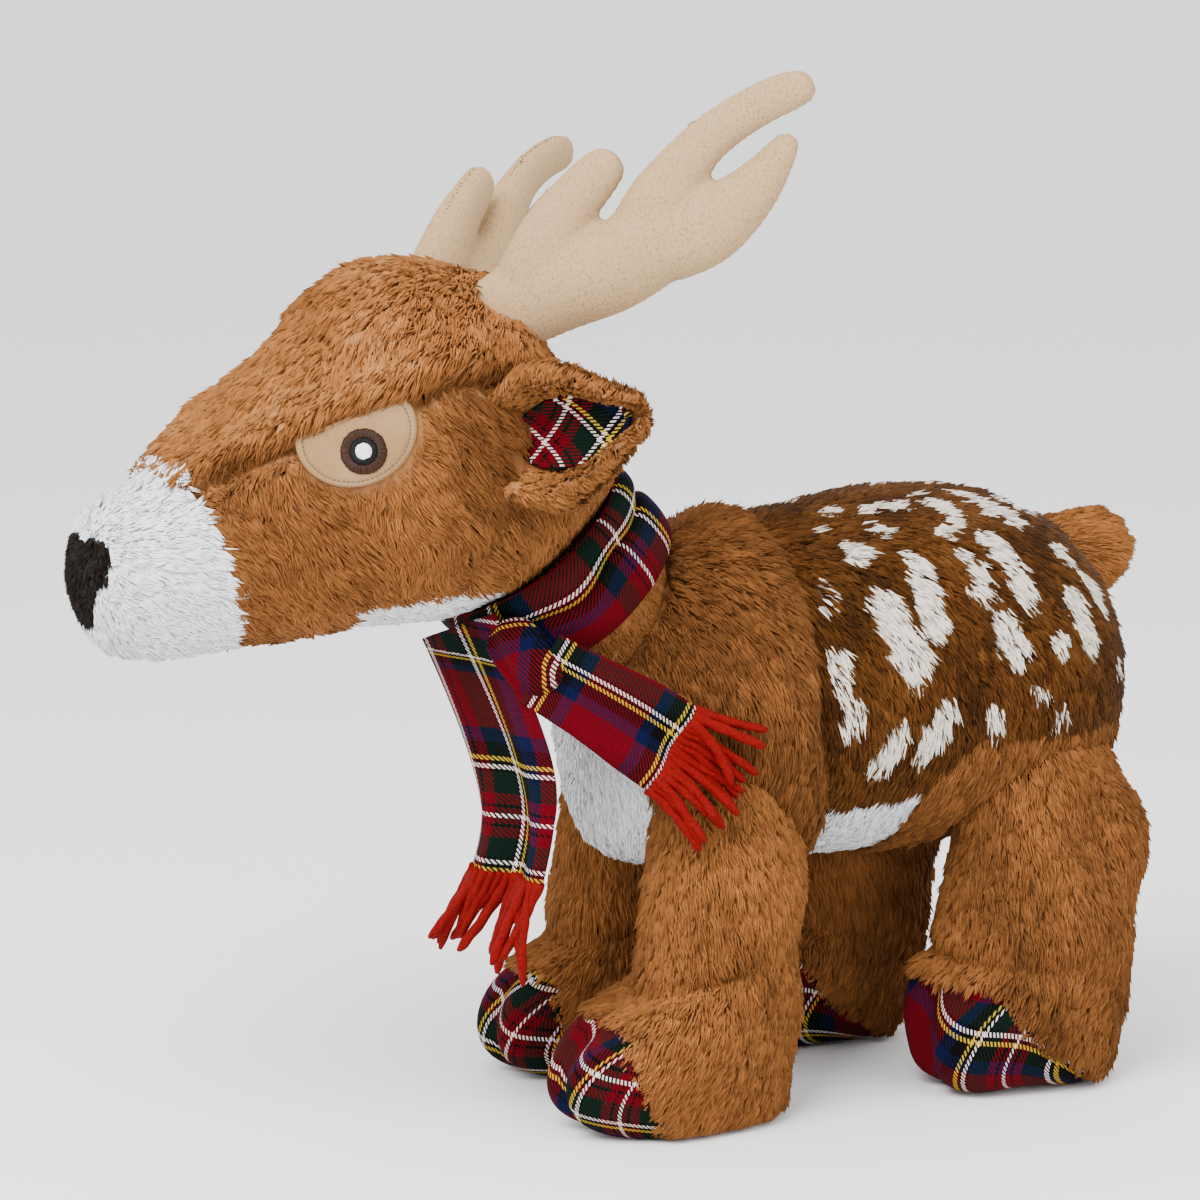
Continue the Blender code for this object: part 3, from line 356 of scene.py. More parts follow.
def to_line(points, a, b):
    """Distance from points to the stretch from a to b, and how far along it they are, from 0 to 1."""
    a, b = np.array(a, float), np.array(b, float)
    way = b - a
    t = np.clip(((points - a) @ way) / max(way @ way, 1e-12), 0, 1)
    return np.linalg.norm(points - a - t[..., None] * way, axis=-1), t


def to_path(points, path):
    return np.min([to_line(points, a, b)[0] for a, b in zip(path[:-1], path[1:])], axis=0)


# Torso
TORSO_FRONT_Y, TORSO_MID_Z = -0.021, 0.140
TORSO_LENGTH, TORSO_WIDTH, TORSO_HEIGHT = 0.201, 0.118, 0.119
TORSO = form([
    (0, TORSO_FRONT_Y + a * TORSO_LENGTH, TORSO_MID_Z + r * TORSO_HEIGHT,
     w * TORSO_WIDTH, 0, 0, 0, 0, h * TORSO_HEIGHT)
    for a, r, w, h in (
        (0, -0.02, 0.14, 0.14), (0.045, -0.03, 0.33, 0.31), (0.15, -0.03, 0.45, 0.45),
        (0.33, -0.02, 0.50, 0.49), (0.56, -0.005, 0.50, 0.50), (0.78, 0, 0.495, 0.50),
        (0.93, -0.02, 0.40, 0.41), (1, -0.02, 0.17, 0.18))
], (0, 1, 0), 112)

# Neck, leaning forward from upright
NECK_LEAN = math.radians(40)
NECK_TOP = np.array([0, -0.038, 0.1935])
NECK_UP = np.array([0, -math.sin(NECK_LEAN), math.cos(NECK_LEAN)])
NECK_FRONT = np.array([0, -math.cos(NECK_LEAN), -math.sin(NECK_LEAN)])
NECK_RADIUS, NECK_LENGTH = 0.0335, 0.075
NECK = form([
    (*(NECK_TOP - NECK_UP * d * NECK_LENGTH), r * NECK_RADIUS, 0, 0, *(NECK_FRONT * r * NECK_RADIUS))
    for d, r in ((0.95, 0.60), (0.62, 0.86), (0.26, 1.0), (0.04, 1.0))
], NECK_UP, 40)

# Head
HEAD_BACK_Y, HEAD_MID_Z = -0.011, 0.225
HEAD_LENGTH, HEAD_WIDTH, HEAD_HEIGHT = 0.187, 0.107, 0.122
HEAD = form([
    (0, HEAD_BACK_Y - a * HEAD_LENGTH, HEAD_MID_Z + r * HEAD_HEIGHT,
     w * HEAD_WIDTH, 0, 0, 0, 0, h * HEAD_HEIGHT)
    for a, r, w, h in (
        (0, 0.100, 0.17, 0.16), (0.045, 0.085, 0.34, 0.28), (0.15, 0.035, 0.455, 0.375),
        (0.32, 0.005, 0.505, 0.485), (0.50, -0.01, 0.485, 0.48), (0.66, -0.09, 0.395, 0.385),
        (0.80, -0.205, 0.31, 0.295), (0.92, -0.270, 0.255, 0.225), (1, -0.275, 0.12, 0.105))
], (0, -1, 0), 128)
BROW_LINE = ((-0.168, 0.219), (-0.1531, 0.2285), (-0.1446, 0.2322), (-0.1374, 0.2350), (-0.1318, 0.2362),
             (-0.1212, 0.2414), (-0.0959, 0.2494), (-0.0874, 0.2535), (-0.0720, 0.2550))
CHEEK_FOLD = ((-0.0676, 0.2119), (-0.0727, 0.2012), (-0.0777, 0.1906), (-0.0762, 0.1830))
NOSE_HALF_WIDTH, NOSE_TOP_Z, NOSE_HEIGHT = 0.0178, 0.2045, 0.027
NOSE_HALF = (
    (0.0, 0.06), (0.35, 0.0), (0.80, 0.04), (1.0, 0.22), (0.92, 0.46), (0.66, 0.62), (0.50, 0.80),
    (0.34, 1.0))
# The brow and bridge, lowered from the form: places along y, and the shift
CROWN_LINE = (
    (-0.190, -0.0008), (-0.178, -0.0058), (-0.155, -0.0080), (-0.133, -0.0070), (-0.118, -0.0046),
    (-0.107, 0.0002), (-0.090, 0.0030), (-0.060, 0.0010), (-0.030, 0))

# Legs: width, depth, how far the foot lies ahead, and how much deeper it is
LEG_TOP_Z = 0.138
FRONT_SIZE = (0.047, 0.047, 0.0225, 0.0210)
HIND_SIZE = (0.051, 0.060, 0.0110, 0.0080)
# The ankle's crease: its height at the leg's middle, how it rises forward, and its depth
FRONT_ANKLE = (0.056, -0.25, 0.0036)
HIND_ANKLE = (0.0445, 0.10, 0.0026)
LEG_PLACES = {
    "left_front": (0.0385, 0.0170, FRONT_SIZE), "right_front": (-0.0385, 0.0210, FRONT_SIZE),
    "left_hind": (0.0420, 0.1360, HIND_SIZE), "right_hind": (-0.0420, 0.1020, HIND_SIZE),
}
LEG_RINGS = ((0, 0.38, 0.42, 0.70, 0.60, 0), (0.08, 0.50, 0.50, 1, 1, 0), (0.22, 0.51, 0.50, 0.90, 0.80, 0),
             (0.37, 0.48, 0.50, 0.06, 0, 0), (0.68, 0.50, 0.50, 0, 0, 0.03), (1, 0.38, 0.36, 0, 0, 0.28))
SOLE_SINK = 0.0013
# Where the toe's seam runs: heights, and places along the leg's depth from its middle
HOOF_SEAMS = {
    "front": ((0.0018, 0.0110, 0.0190, 0.0310, 0.0390), (-0.0340, -0.0394, -0.0447, -0.0480, -0.0455)),
    "hind": ((0.0018, 0.0107, 0.0206, 0.0304, 0.0410), (0.0120, -0.0010, -0.0170, -0.0250, -0.0325)),
}


def leg_form(word):
    x, y, (width, depth, shift, growth) = LEG_PLACES[word]
    side = math.copysign(1, x)
    return form([
        (x - side * lean * width, y - foot * shift, up * LEG_TOP_Z - SOLE_SINK, wide * width, 0, 0, 0,
         deep * depth + foot * growth, 0)
        for up, wide, deep, foot, _, lean in LEG_RINGS], (0, 0, 1), 150)


LEGS = {word: leg_form(word) for word in LEG_PLACES}

# Eyes
EYE = np.array([0.0400, -0.1120, 0.2300])
EYE_TURN, EYE_RISE, EYE_SLANT = math.radians(62), math.radians(12), math.radians(24)
PATCH_RADIUS, PATCH_BROW, PATCH_RISE, PATCH_DROP = 0.0193, 0.0058, 0.0065, 0.86
# The eye patch from its middle to its turned edge: share of its outline, and millimetres off the head
PATCH_SECTION = (
    (0, 2.5), (0.12, 2.5), (0.25, 2.5), (0.4, 2.45), (0.55, 2.4), (0.68, 2.3), (0.78, 2.2), (0.84, 2.1),
    (0.87, 1.75), (0.90, 1.95), (0.93, 2.1), (0.96, 2.0), (0.985, 1.7), (1.0, 1.1), (1.0, 0.2), (0.9, 0.0),
    (0.0, 0.0))

# Antlers
ANTLER_ROOT = np.array([0.0235, -0.0590, 0.2745])
ANTLER_TURN, ANTLER_REACH, ANTLER_FLATNESS = math.radians(50), 0.100, 0.66
ANTLER_RIGHT_DROOP, ANTLER_RIGHT_SLIP = math.radians(16), 0.0065
# Branches: out, up and half width, as shares of the antler's reach
BEAM = ((-0.10, -0.14, 0.115), (-0.03, -0.07, 0.138), (0.13, 0.025, 0.145), (0.28, 0.072, 0.140),
        (0.44, 0.145, 0.152), (0.56, 0.24, 0.145))
UPPER = ((0.50, 0.24, 0.135), (0.587, 0.405, 0.100), (0.664, 0.518, 0.078), (0.80, 0.612, 0.074),
         (0.93, 0.672, 0.069), (0.985, 0.695, 0.062))
LOWER = ((0.57, 0.205, 0.136), (0.71, 0.262, 0.126), (0.845, 0.375, 0.087), (0.915, 0.475, 0.062),
         (0.938, 0.515, 0.050))
TINE = ((0.13, 0.08, 0.140), (0.190, 0.245, 0.102), (0.302, 0.380, 0.086), (0.352, 0.435, 0.072))
STITCH_GAP, PUCKER_GAP = 0.0019, 0.0042

# Ears
EAR_ROOT = np.array([0.0525, -0.0660, 0.2290])
EAR_TURN, EAR_RISE = math.radians(37), math.radians(15)
EAR_LENGTH, EAR_WIDTH, EAR_CUP = 0.048, 0.047, 0.009
EAR_SHARES, EAR_STEPS = (0.60, 0.97, 0.95, 0.74, 0.33), 4.55
EAR_SHIFT = 0.0030

# Tail
TAIL_ROOT = np.array([0, 0.1560, 0.1780])
TAIL_LENGTH, TAIL_RADIUS, TAIL_DROP = 0.045, 0.0135, math.radians(6)
TAIL_AHEAD = np.array([0, math.cos(TAIL_DROP), -math.sin(TAIL_DROP)])
TAIL_UP = np.array([0, math.sin(TAIL_DROP), math.cos(TAIL_DROP)])
TAIL = form([
    (*(TAIL_ROOT + TAIL_AHEAD * a * TAIL_LENGTH), w * TAIL_RADIUS, 0, 0, *(TAIL_UP * h * TAIL_RADIUS))
    for a, w, h in ((0, 0.62, 0.62), (0.16, 0.72, 0.74), (0.42, 0.96, 1), (0.66, 0.98, 1.02),
                    (0.86, 0.74, 0.76), (0.97, 0.34, 0.34))
], TAIL_AHEAD, 48)

# Saddle
SADDLE_FRONT_Y, SADDLE_HIP_Y = 0.038, 0.088
# Streaks of pale pile on the saddle's side: from and to in y and z, half width, and how pale
SPOTS = (
    (0.0586, 0.1941, 0.0586, 0.1925, 0.0028, 0.6), (0.0712, 0.1970, 0.0720, 0.1965, 0.0030, 0.6),
    (0.0827, 0.1959, 0.0923, 0.1958, 0.0034, 1), (0.0789, 0.1904, 0.0795, 0.1885, 0.0030, 0.9),
    (0.0652, 0.1861, 0.0660, 0.1835, 0.0034, 0.9), (0.0505, 0.1747, 0.0460, 0.1700, 0.0028, 0.6),
    (0.1035, 0.1964, 0.1065, 0.1915, 0.0042, 1), (0.1220, 0.1975, 0.1290, 0.1920, 0.0055, 1),
    (0.1012, 0.1863, 0.1058, 0.1735, 0.0040, 1), (0.1168, 0.1845, 0.1240, 0.1710, 0.0046, 1),
    (0.0843, 0.1792, 0.0872, 0.1605, 0.0040, 1), (0.1457, 0.1814, 0.1465, 0.1790, 0.0036, 0.9),
    (0.0685, 0.1695, 0.0782, 0.1500, 0.0058, 1), (0.1121, 0.1613, 0.1160, 0.1520, 0.0044, 1),
    (0.1434, 0.1662, 0.1475, 0.1520, 0.0040, 1), (0.1323, 0.1548, 0.1328, 0.1530, 0.0028, 0.9),
    (0.1551, 0.1713, 0.1575, 0.1640, 0.0036, 1), (0.1630, 0.1450, 0.1632, 0.1410, 0.0026, 0.9),
    (0.0482, 0.1535, 0.0545, 0.1335, 0.0042, 0.9), (0.1250, 0.1380, 0.1250, 0.1370, 0.0026, 0.6),
    (0.1068, 0.1310, 0.1070, 0.1290, 0.0036, 0.9), (0.1339, 0.1290, 0.1339, 0.1280, 0.0024, 0.6),
    (0.0699, 0.1279, 0.0655, 0.1175, 0.0040, 1), (0.0888, 0.1336, 0.0825, 0.1210, 0.0040, 1),
    (0.1030, 0.1985, 0.1040, 0.1985, 0.0026, 0.6), (0.1400, 0.1950, 0.1430, 0.1930, 0.0036, 0.9),
)

# Scarf
BAND_DROP, BAND_WIDTH, BAND_CLEARANCE, BAND_THICKNESS = -0.0016, 0.0303, 0.0003, 0.0048
KNOT = np.array([0.0350, -0.0545, 0.1600])
KNOT_SIZE, KNOT_TURN, KNOT_SLANT = (0.0285, 0.0175, 0.0165), math.radians(32), math.radians(-46)
# The band's folded section, closed: shares of its width, and of its thickness off the neck
BAND_PROFILE = (
    (0.02, 0.0), (0.0, 0.55), (0.10, 1.0), (0.25, 1.05), (0.38, 0.80), (0.44, 0.45), (0.43, 0.95),
    (0.55, 1.20), (0.75, 1.28), (0.93, 1.10), (1.04, 0.60), (1.0, 0.05), (0.5, -0.02))
FRONT_TURN, SIDE_TILT = math.radians(16), math.radians(56)
FRONT_START, FRONT_LENGTH, FRONT_WIDTH = np.array([0.0290, -0.0595, 0.1500]), 0.063, 0.035
SIDE_START, SIDE_LENGTH, SIDE_WIDTH = np.array([0.0425, -0.0505, 0.1560]), 0.056, 0.036
FRONT_ACROSS = np.array([math.cos(FRONT_TURN), math.sin(FRONT_TURN), 0])
SIDE_ACROSS = np.array([0, math.cos(SIDE_TILT), math.sin(SIDE_TILT)])
FRONT_LINE = ((-0.22, -0.11, -0.185), (0.05, 0.02, 0.33), (0.14, 0.035, 0.67), (0.04, -0.01, 1))
SIDE_LINE = ((-0.02, -0.04, -0.026), (0.11, 0.22, 0.14), (0.20, 0.46, 0.30), (0.265, 0.695, 0.475))
FRONT_WIDTHS = (1.28, 1.14, 1.02, 1.08)
SIDE_WIDTHS = (0.70, 0.75, 0.84, 0.87)
# The front end's check: places down the cloth, and the check's own
FRONT_CHECK = ((-0.015, -0.0459), (0.003, -0.0279), (0.015, -0.0017), (0.103, 0.0863))

# Plush: the knitted ground's two colours, kept dark as painted shade in the gaps between strands, and the
# sizes of what is drawn in its finish
GROUND_SHADE_COLOURS = {
    "tan": ("6E431E", "8F5C2C"), "brown": ("341D09", "4F2F13"), "white": ("C6C8CE", "E9EAEE"),
    "black": ("0E0C0B", "1C1815"),
}
STREAK, WORN_PATCH, FIBRE, LINT, FUZZ = (0.0030, 0.0030, 0.0070), 0.016, 0.0005, 0.0014, 0.0009
# A strand: how far in its bend is measured from, how far its tuft moves it, how far it arches, how deep its
# root sits, and its four faces
ROOT_DEPTH, TUFT_NUDGE, STRAND_ARCH, SEAT_DEPTH = 0.0006, 0.0014, 0.00015, 0.0008
SLIVER = np.array([[0, 2, 1], [3, 1, 2], [0, 1, 3], [0, 3, 2]])


# Materials

def add(tree, kind, inputs=None, stops=None, **settings):
    """Adds a node. Settings are its properties, inputs give each socket a value or the socket that feeds it,
    and stops are a ramp's places with their colours."""
    made = tree.nodes.new("ShaderNode" + kind)
    for key, value in settings.items():
        setattr(made, key, value)
    for key, value in (inputs or {}).items():
        if isinstance(value, bpy.types.NodeSocket):
            tree.links.new(value, made.inputs[key])
        else:
            made.inputs[key].default_value = value
    if stops:
        ramp = made.color_ramp
        while len(ramp.elements) < len(stops):
            ramp.elements.new(0.5)
        for element, (place, shade) in zip(ramp.elements, stops):
            element.position = place
            element.color = shade
    return made


def finish(name, paint, **shader):
    """A material, made once. Shader holds its Principled shader's constant values. Paint adds the nodes, and
    gives the sockets of the colour and of the bump, where it has them."""
    made = bpy.data.materials.get(name)
    if made:
        return made
    made = bpy.data.materials.new(name)
    made.use_nodes = True
    tree = made.node_tree
    main = tree.nodes["Principled BSDF"]
    for key, value in shader.items():
        main.inputs[key.replace("_", " ")].default_value = value
    for key, source in zip(("Base Color", "Normal"), paint(tree)):
        tree.links.new(source, main.inputs[key])
    return made


def grey(value):
    return (value, value, value, 1)


def darker(shade, share):
    return [c * share for c in shade[:3]] + [1]


def pile_finish(name, stops, root, sheen):
    # Acrylic plush pile, cut and brushed: matt strands with painted shade in the gaps at their roots, and a
    # soft pale rim
    def paint(tree):
        place = add(tree, "UVMap", uv_map="OFBake")
        parts = add(tree, "SeparateXYZ", {0: place.outputs[0]})
        tone = add(tree, "ValToRGB", {0: parts.outputs[0]}, stops)
        # Painted shade: each strand is darkened from its tip towards its root, where the gaps between strands
        # lie in shadow
        painted_root_shade = [(0.0, grey(root)), (0.5, grey(0.92)), (1.0, grey(1.03))]
        depth = add(tree, "ValToRGB", {0: parts.outputs[1]}, painted_root_shade)
        mixed = add(tree, "Mix", {0: 1.0, 6: tone.outputs[0], 7: depth.outputs[0]},
                    data_type="RGBA", blend_type="MULTIPLY")
        return [mixed.outputs[2]]

    return finish(name, paint, Roughness=0.85, Sheen_Weight=sheen, Sheen_Roughness=0.45,
                  Specular_IOR_Level=0.06, Sheen_Tint=stops[-1][1])


def ground(word):
    # Knitted polyester ground of the plush, seen only between strands and coloured dark as painted shade
    # there: dark streaks the size of the tufts
    dark, light = (colour(text) for text in GROUND_SHADE_COLOURS[word])

    def paint(tree):
        where = add(tree, "TexCoord")
        finer = [1 / size for size in STREAK]
        spread = add(tree, "Mapping", {"Vector": where.outputs["Object"], "Scale": finer})
        streaks = add(tree, "TexNoise", {"Vector": spread.outputs[0], "Scale": 1.0, "Detail": 3.0})
        shade = add(tree, "ValToRGB", {0: streaks.outputs[0]}, [(0.35, dark), (0.68, light)])
        lift = add(tree, "Bump", {"Height": streaks.outputs[0], "Distance": 0.001, "Strength": 0.5})
        return shade.outputs[0], lift.outputs[0]

    return finish(word + "_knitted_ground_painted_shade", paint, Roughness=0.95, Sheen_Weight=0.1)


def suede_finish(name, light, dark):
    # Polyester microsuede, brushed: fine two-tone grain where the nap turns, faint rosy wear, no shine
    props = bpy.context.scene.deer_suede

    def paint(tree):
        where = add(tree, "TexCoord")
        grain = add(tree, "TexNoise", {
            "Vector": where.outputs["Object"], "Scale": 1 / props.grain, "Detail": 3.0, "Roughness": 0.7})
        fine = add(tree, "ValToRGB", {0: grain.outputs[0]}, [(0.34, dark), (0.50, light), (1.0, light)])
        worn = add(tree, "TexNoise", {
            "Vector": where.outputs["Object"], "Scale": 1 / WORN_PATCH, "Detail": 2.0})
        share = add(tree, "MapRange", {0: worn.outputs[0], 1: 0.42, 2: 0.75, 3: 0.0, 4: 0.6})
        mixed = add(tree, "Mix", {0: share.outputs[0], 6: fine.outputs[0], 7: props.rosy}, data_type="RGBA")
        speck = add(tree, "Mix", {0: 0.35, 6: mixed.outputs[2], 7: fine.outputs[0]}, data_type="RGBA")
        lift = add(tree, "Bump", {"Height": grain.outputs[0], "Distance": 0.0004, "Strength": 0.55})
        return speck.outputs[2], lift.outputs[0]

    return finish(name, paint, Roughness=0.92, Sheen_Weight=0.15, Sheen_Roughness=0.5, Specular_IOR_Level=0.2,
                  Sheen_Tint=light)


def thread_finish(name, shade, soft=0.5):
    # Rayon embroidery thread, laid flat as satin stitch: a silky gloss along each thread
    def paint(tree):
        where = add(tree, "TexCoord")
        fibres = add(tree, "TexNoise", {"Vector": where.outputs["Object"], "Scale": 1 / FIBRE, "Detail": 2.0})
        tone = add(tree, "ValToRGB", {0: fibres.outputs[0]}, [(0.3, darker(shade, 0.6)), (0.6, shade)])
        return [tone.outputs[0]]

    return finish(name, paint, Roughness=soft, Specular_IOR_Level=0.2)


def check_finish():
    # Brushed cotton twill, woven in a check: pure colours where like threads cross, diagonal dashes where
    # they don't. The stripes, in millimetres, run from the middle of the broad red to the middle of a cream
    # line, and back again
    props = bpy.context.scene.deer_scarf
    stripes = (
        (13.0, props.red), (5.0, props.navy), (5.0, props.black), (1.5, props.gold), (1.3, props.black),
        (1.4, props.cream), (1.0, props.black), (7.0, props.green), (3.5, props.red), (1.0, props.black),
        (2.0, props.red), (0.7, props.cream))
    total = sum(width for width, _ in stripes)
    stops, place = [], 0.0
    for width, shade in stripes:
        stops.append((place / total, shade))
        place += width

    def paint(tree):
        where = add(tree, "UVMap", uv_map="Cloth")
        parts = add(tree, "SeparateXYZ", {0: where.outputs[0]})
        sides = []
        for axis in (0, 1):
            share = add(tree, "Math", {0: parts.outputs[axis], 1: 1000 / total}, operation="MULTIPLY")
            turn = add(tree, "Math", {0: share.outputs[0], 1: 1.0}, operation="PINGPONG")
            band = add(tree, "ValToRGB", {0: turn.outputs[0]}, stops)
            band.color_ramp.interpolation = "CONSTANT"
            sides.append(band)
        slant = add(tree, "Math", {0: parts.outputs[0], 1: parts.outputs[1]}, operation="ADD")
        count = add(tree, "Math", {0: slant.outputs[0], 1: 1 / props.twill}, operation="MULTIPLY")
        phase = add(tree, "Math", {0: count.outputs[0]}, operation="FRACT")
        over = add(tree, "Math", {0: phase.outputs[0], 1: 0.5}, operation="GREATER_THAN")
        check = add(tree, "Mix", {0: over.outputs[0], 6: sides[0].outputs[0], 7: sides[1].outputs[0]},
                    data_type="RGBA")
        lint = add(tree, "TexNoise", {"Vector": where.outputs[0], "Scale": 1 / LINT, "Detail": 3.0})
        soft = add(tree, "MapRange", {0: lint.outputs[0], 1: 0.3, 2: 0.7, 3: 0.82, 4: 1.12})
        shade = add(tree, "Mix", {0: 1.0, 6: check.outputs[2], 7: soft.outputs[0]},
                    data_type="RGBA", blend_type="MULTIPLY")
        ridge = add(tree, "Math", {0: phase.outputs[0], 1: math.pi * 2}, operation="MULTIPLY")
        wave = add(tree, "Math", {0: ridge.outputs[0]}, operation="SINE")
        rough = add(tree, "Math", {0: wave.outputs[0], 1: lint.outputs[0]}, operation="ADD")
        lift = add(tree, "Bump", {"Height": rough.outputs[0], "Distance": 0.00018, "Strength": 0.6})
        return shade.outputs[2], lift.outputs[0]

    return finish("woven_tartan_cotton", paint, Roughness=0.92, Specular_IOR_Level=0.06)


def yarn_finish():
    # Acrylic yarn, plied and cut: fuzzy, darkened in patches by a noise that is painted shade for the grooves
    # between its plies
    red = bpy.context.scene.deer_scarf.yarn_red

    def paint(tree):
        where = add(tree, "TexCoord")
        fuzz_and_groove_shade = add(tree, "TexNoise", {"Vector": where.outputs["Object"], "Scale": 1 / FUZZ, "Detail": 3.0})
        # Painted shade: the noise darkens the red towards the shadow of the grooves between plies
        tone = add(tree, "ValToRGB", {0: fuzz_and_groove_shade.outputs[0]}, [(0.30, darker(red, 0.55)), (0.58, red)])
        lift = add(tree, "Bump", {"Height": fuzz_and_groove_shade.outputs[0], "Distance": 0.0004, "Strength": 0.6})
        return tone.outputs[0], lift.outputs[0]

    return finish("red_acrylic_yarn", paint, Roughness=0.85, Specular_IOR_Level=0.12)


def plush(word):
    """The pile's finish for a colour's word: its strands' tones from dark to pale, the painted shade at its
    roots and its sheen."""
    props = bpy.context.scene.deer_plush
    # The middle number of each entry is the painted shade at the strands' roots
    stops, root, sheen = {
        "tan": ([(0.0, props.tan_dark), (0.5, props.tan_mid), (1.0, props.tan_light)], 0.87, 0.05),
        "spotted": ([(0.0, props.saddle_dark), (0.22, props.saddle_mid), (0.48, props.saddle_light),
                     (0.60, props.saddle_light), (0.78, props.spot), (1.0, props.spot)], 0.87, 0.06),
        "white": ([(0.0, props.white_dark), (1.0, props.white)], 0.88, 0.15),
        "black": ([(0.0, props.black), (1.0, colour("2B2522"))], 0.87, 0.1),
    }[word]
    return pile_finish(word + "_acrylic_plush_pile", stops, root, sheen)


# Pile

def pile(name, points, word, body, comb, keep, tone, length, seed, *nodes, lift=(34, 8), width=None,
         density=None, clump=None, pull=0.5, jitter=0.16, floor=None):
    """A pile of tapered, bent strands on a grid that goes round. Roots are spread evenly by area where keep
    allows. Each strand leaves its root at the first lift angle from the skin, leans to the second, follows
    the comb, and is pulled towards the middle of its tuft. It's a closed sliver of four faces, pointed at
    both ends and widest at its bend. Comb and tone are functions of place. The map's u is the strand's tone
    and v runs from root to tip. The shading normals lean to the skin's, because brushed pile scatters light
    as one soft surface."""
    props = bpy.context.scene.deer_plush
    width = width or props.pile_width
    density = density or props.density
    clump = clump or props.clump
    rng = np.random.default_rng(seed)
    normals = grid_normals(points)
    a, b = points[:-1], points[1:]
    a2, b2 = np.roll(a, -1, 1), np.roll(b, -1, 1)
    halves = (a2 - a, b - a), (b2 - b, b2 - a2)
    cells = (sum(np.linalg.norm(np.cross(*ways), axis=-1) for ways in halves) / 2).ravel()
    count = int(cells.sum() * 1e6 * density)
    pick = rng.choice(len(cells), count, p=cells / cells.sum())
    row, column = np.divmod(pick, points.shape[1])
    s, t = rng.random((2, count, 1))
    following = (column + 1) % points.shape[1]

    def blend(grid):
        return ((1 - s) * (1 - t) * grid[row, column] + (1 - s) * t * grid[row, following]
                + s * (1 - t) * grid[row + 1, column] + s * t * grid[row + 1, following])

    roots, up = blend(points), unit(blend(normals))
    stay = rng.random(count) < keep(roots, up)
    roots, up = roots[stay], up[stay]
    count = len(roots)
    way = comb(roots, up) + rng.normal(0, jitter, (count, 3))
    way = unit(way - up * (way * up).sum(-1, keepdims=True))
    long = (length(roots) if callable(length) else length) * rng.uniform(0.72, 1.12, count)
    first = np.radians(lift[0] + rng.normal(0, 9, count))[:, None]
    second = np.radians(lift[1] + rng.normal(0, 7, count))[:, None]
    half = long[:, None] / 2
    curl = unit(way + rng.normal(0, jitter, (count, 3)))
    bend = roots - up * ROOT_DEPTH + half * (np.cos(first) * way + np.sin(first) * up)
    tips = bend + half * (np.cos(second) * curl + np.sin(second) * up)
    warp = np.stack([waves(roots, 0.011, seed + k, 6) for k in (1, 2, 3)], -1) * 0.0011
    lots = np.floor((roots + warp) / clump + 0.5).astype(np.int64)
    _, lot = np.unique(lots @ np.array([1, 4001, 16008001]), return_inverse=True)
    share = np.bincount(lot).astype(float)
    evened = np.sqrt(share[lot])[:, None]

    def mean(values):
        return (np.stack([np.bincount(lot, values[:, k]) for k in range(3)], -1) / share[:, None])[lot]

    nudge = mean(rng.normal(0, TUFT_NUDGE, (count, 3)) * evened)
    nudge -= up * (nudge * up).sum(-1, keepdims=True) * 0.75
    tips = tips + pull * (mean(tips) - tips) + nudge * 0.55
    bend = bend + pull * 0.35 * (mean(bend) - bend) + nudge * 0.2
    if floor is not None:
        bend[:, 2] = np.maximum(bend[:, 2], floor)
        tips[:, 2] = np.maximum(tips[:, 2], floor)
    tuft = mean(np.repeat(rng.normal(0, 1, (count, 1)) * evened, 3, 1))[:, 0]
    u = tone(roots + way * (long * 0.5)[:, None], tuft, rng)
    ahead = unit(tips - roots)
    over = unit(up - ahead * (up * ahead).sum(-1, keepdims=True))
    side = np.cross(over, ahead)
    broad = (width * rng.uniform(0.75, 1.2, count) / 2)[:, None]
    arch = over * STRAND_ARCH
    bowed = bend + arch
    strands = np.stack([roots - up * SEAT_DEPTH, bowed + broad * side, bowed - broad * side, tips], 1)
    shift = (np.arange(count) * 4)[:, None, None]
    place = np.array([[0.0, 0.02], [0.02, 0.5], [-0.02, 0.52], [0.0, 0.98]])
    down = np.broadcast_to(place[None, :, 1], (count, 4))
    spots = np.stack([np.clip(u, 0.03, 0.97)[:, None] + place[None, :, 0], down], -1)
    made = fill_mesh(name, strands.reshape(-1, 3), [(SLIVER[None] + shift).reshape(-1, 3)], [plush(word)],
                     {"OFBake": spots[:, SLIVER].reshape(-1, 2)})
    soft = np.stack([up, unit(up + 0.36 * side), unit(up - 0.36 * side), unit(up + 0.3 * curl)], 1)
    made.data.normals_split_custom_set_from_vertices(soft.reshape(-1, 3))
    dress(made, word + "_plush", body, *nodes)


def usual_tone(centre=0.5, spread=0.055, seed=5):
    """Strand tones about a centre: slow changes over the body, a step from tuft to tuft and a little for
    each strand."""
    def tone(roots, tuft, rng):
        slow = waves(roots, 0.045, seed) * 0.06 + waves(roots, 0.011, seed + 1) * 0.05
        return np.clip(centre + slow + spread * tuft + rng.normal(0, spread, len(roots)), 0.02, 0.98)
    return tone


def filled(piece, slot, fill, body, *nodes):
    """Dresses a piece that is stuffed. The fill is not used."""
    dress(piece, slot, body, *nodes)


def outside(points, *shapes, margin=1.0):
    clear = np.ones(len(points), bool)
    for shape in shapes:
        clear &= level(shape, points) > margin
    return clear


# Torso and neck

def shoulder_seam(z):
    """Where the seam behind the shoulders runs along y, at a height."""
    return SADDLE_FRONT_Y + 0.010 * step(0.140 - z, 0, 0.045)


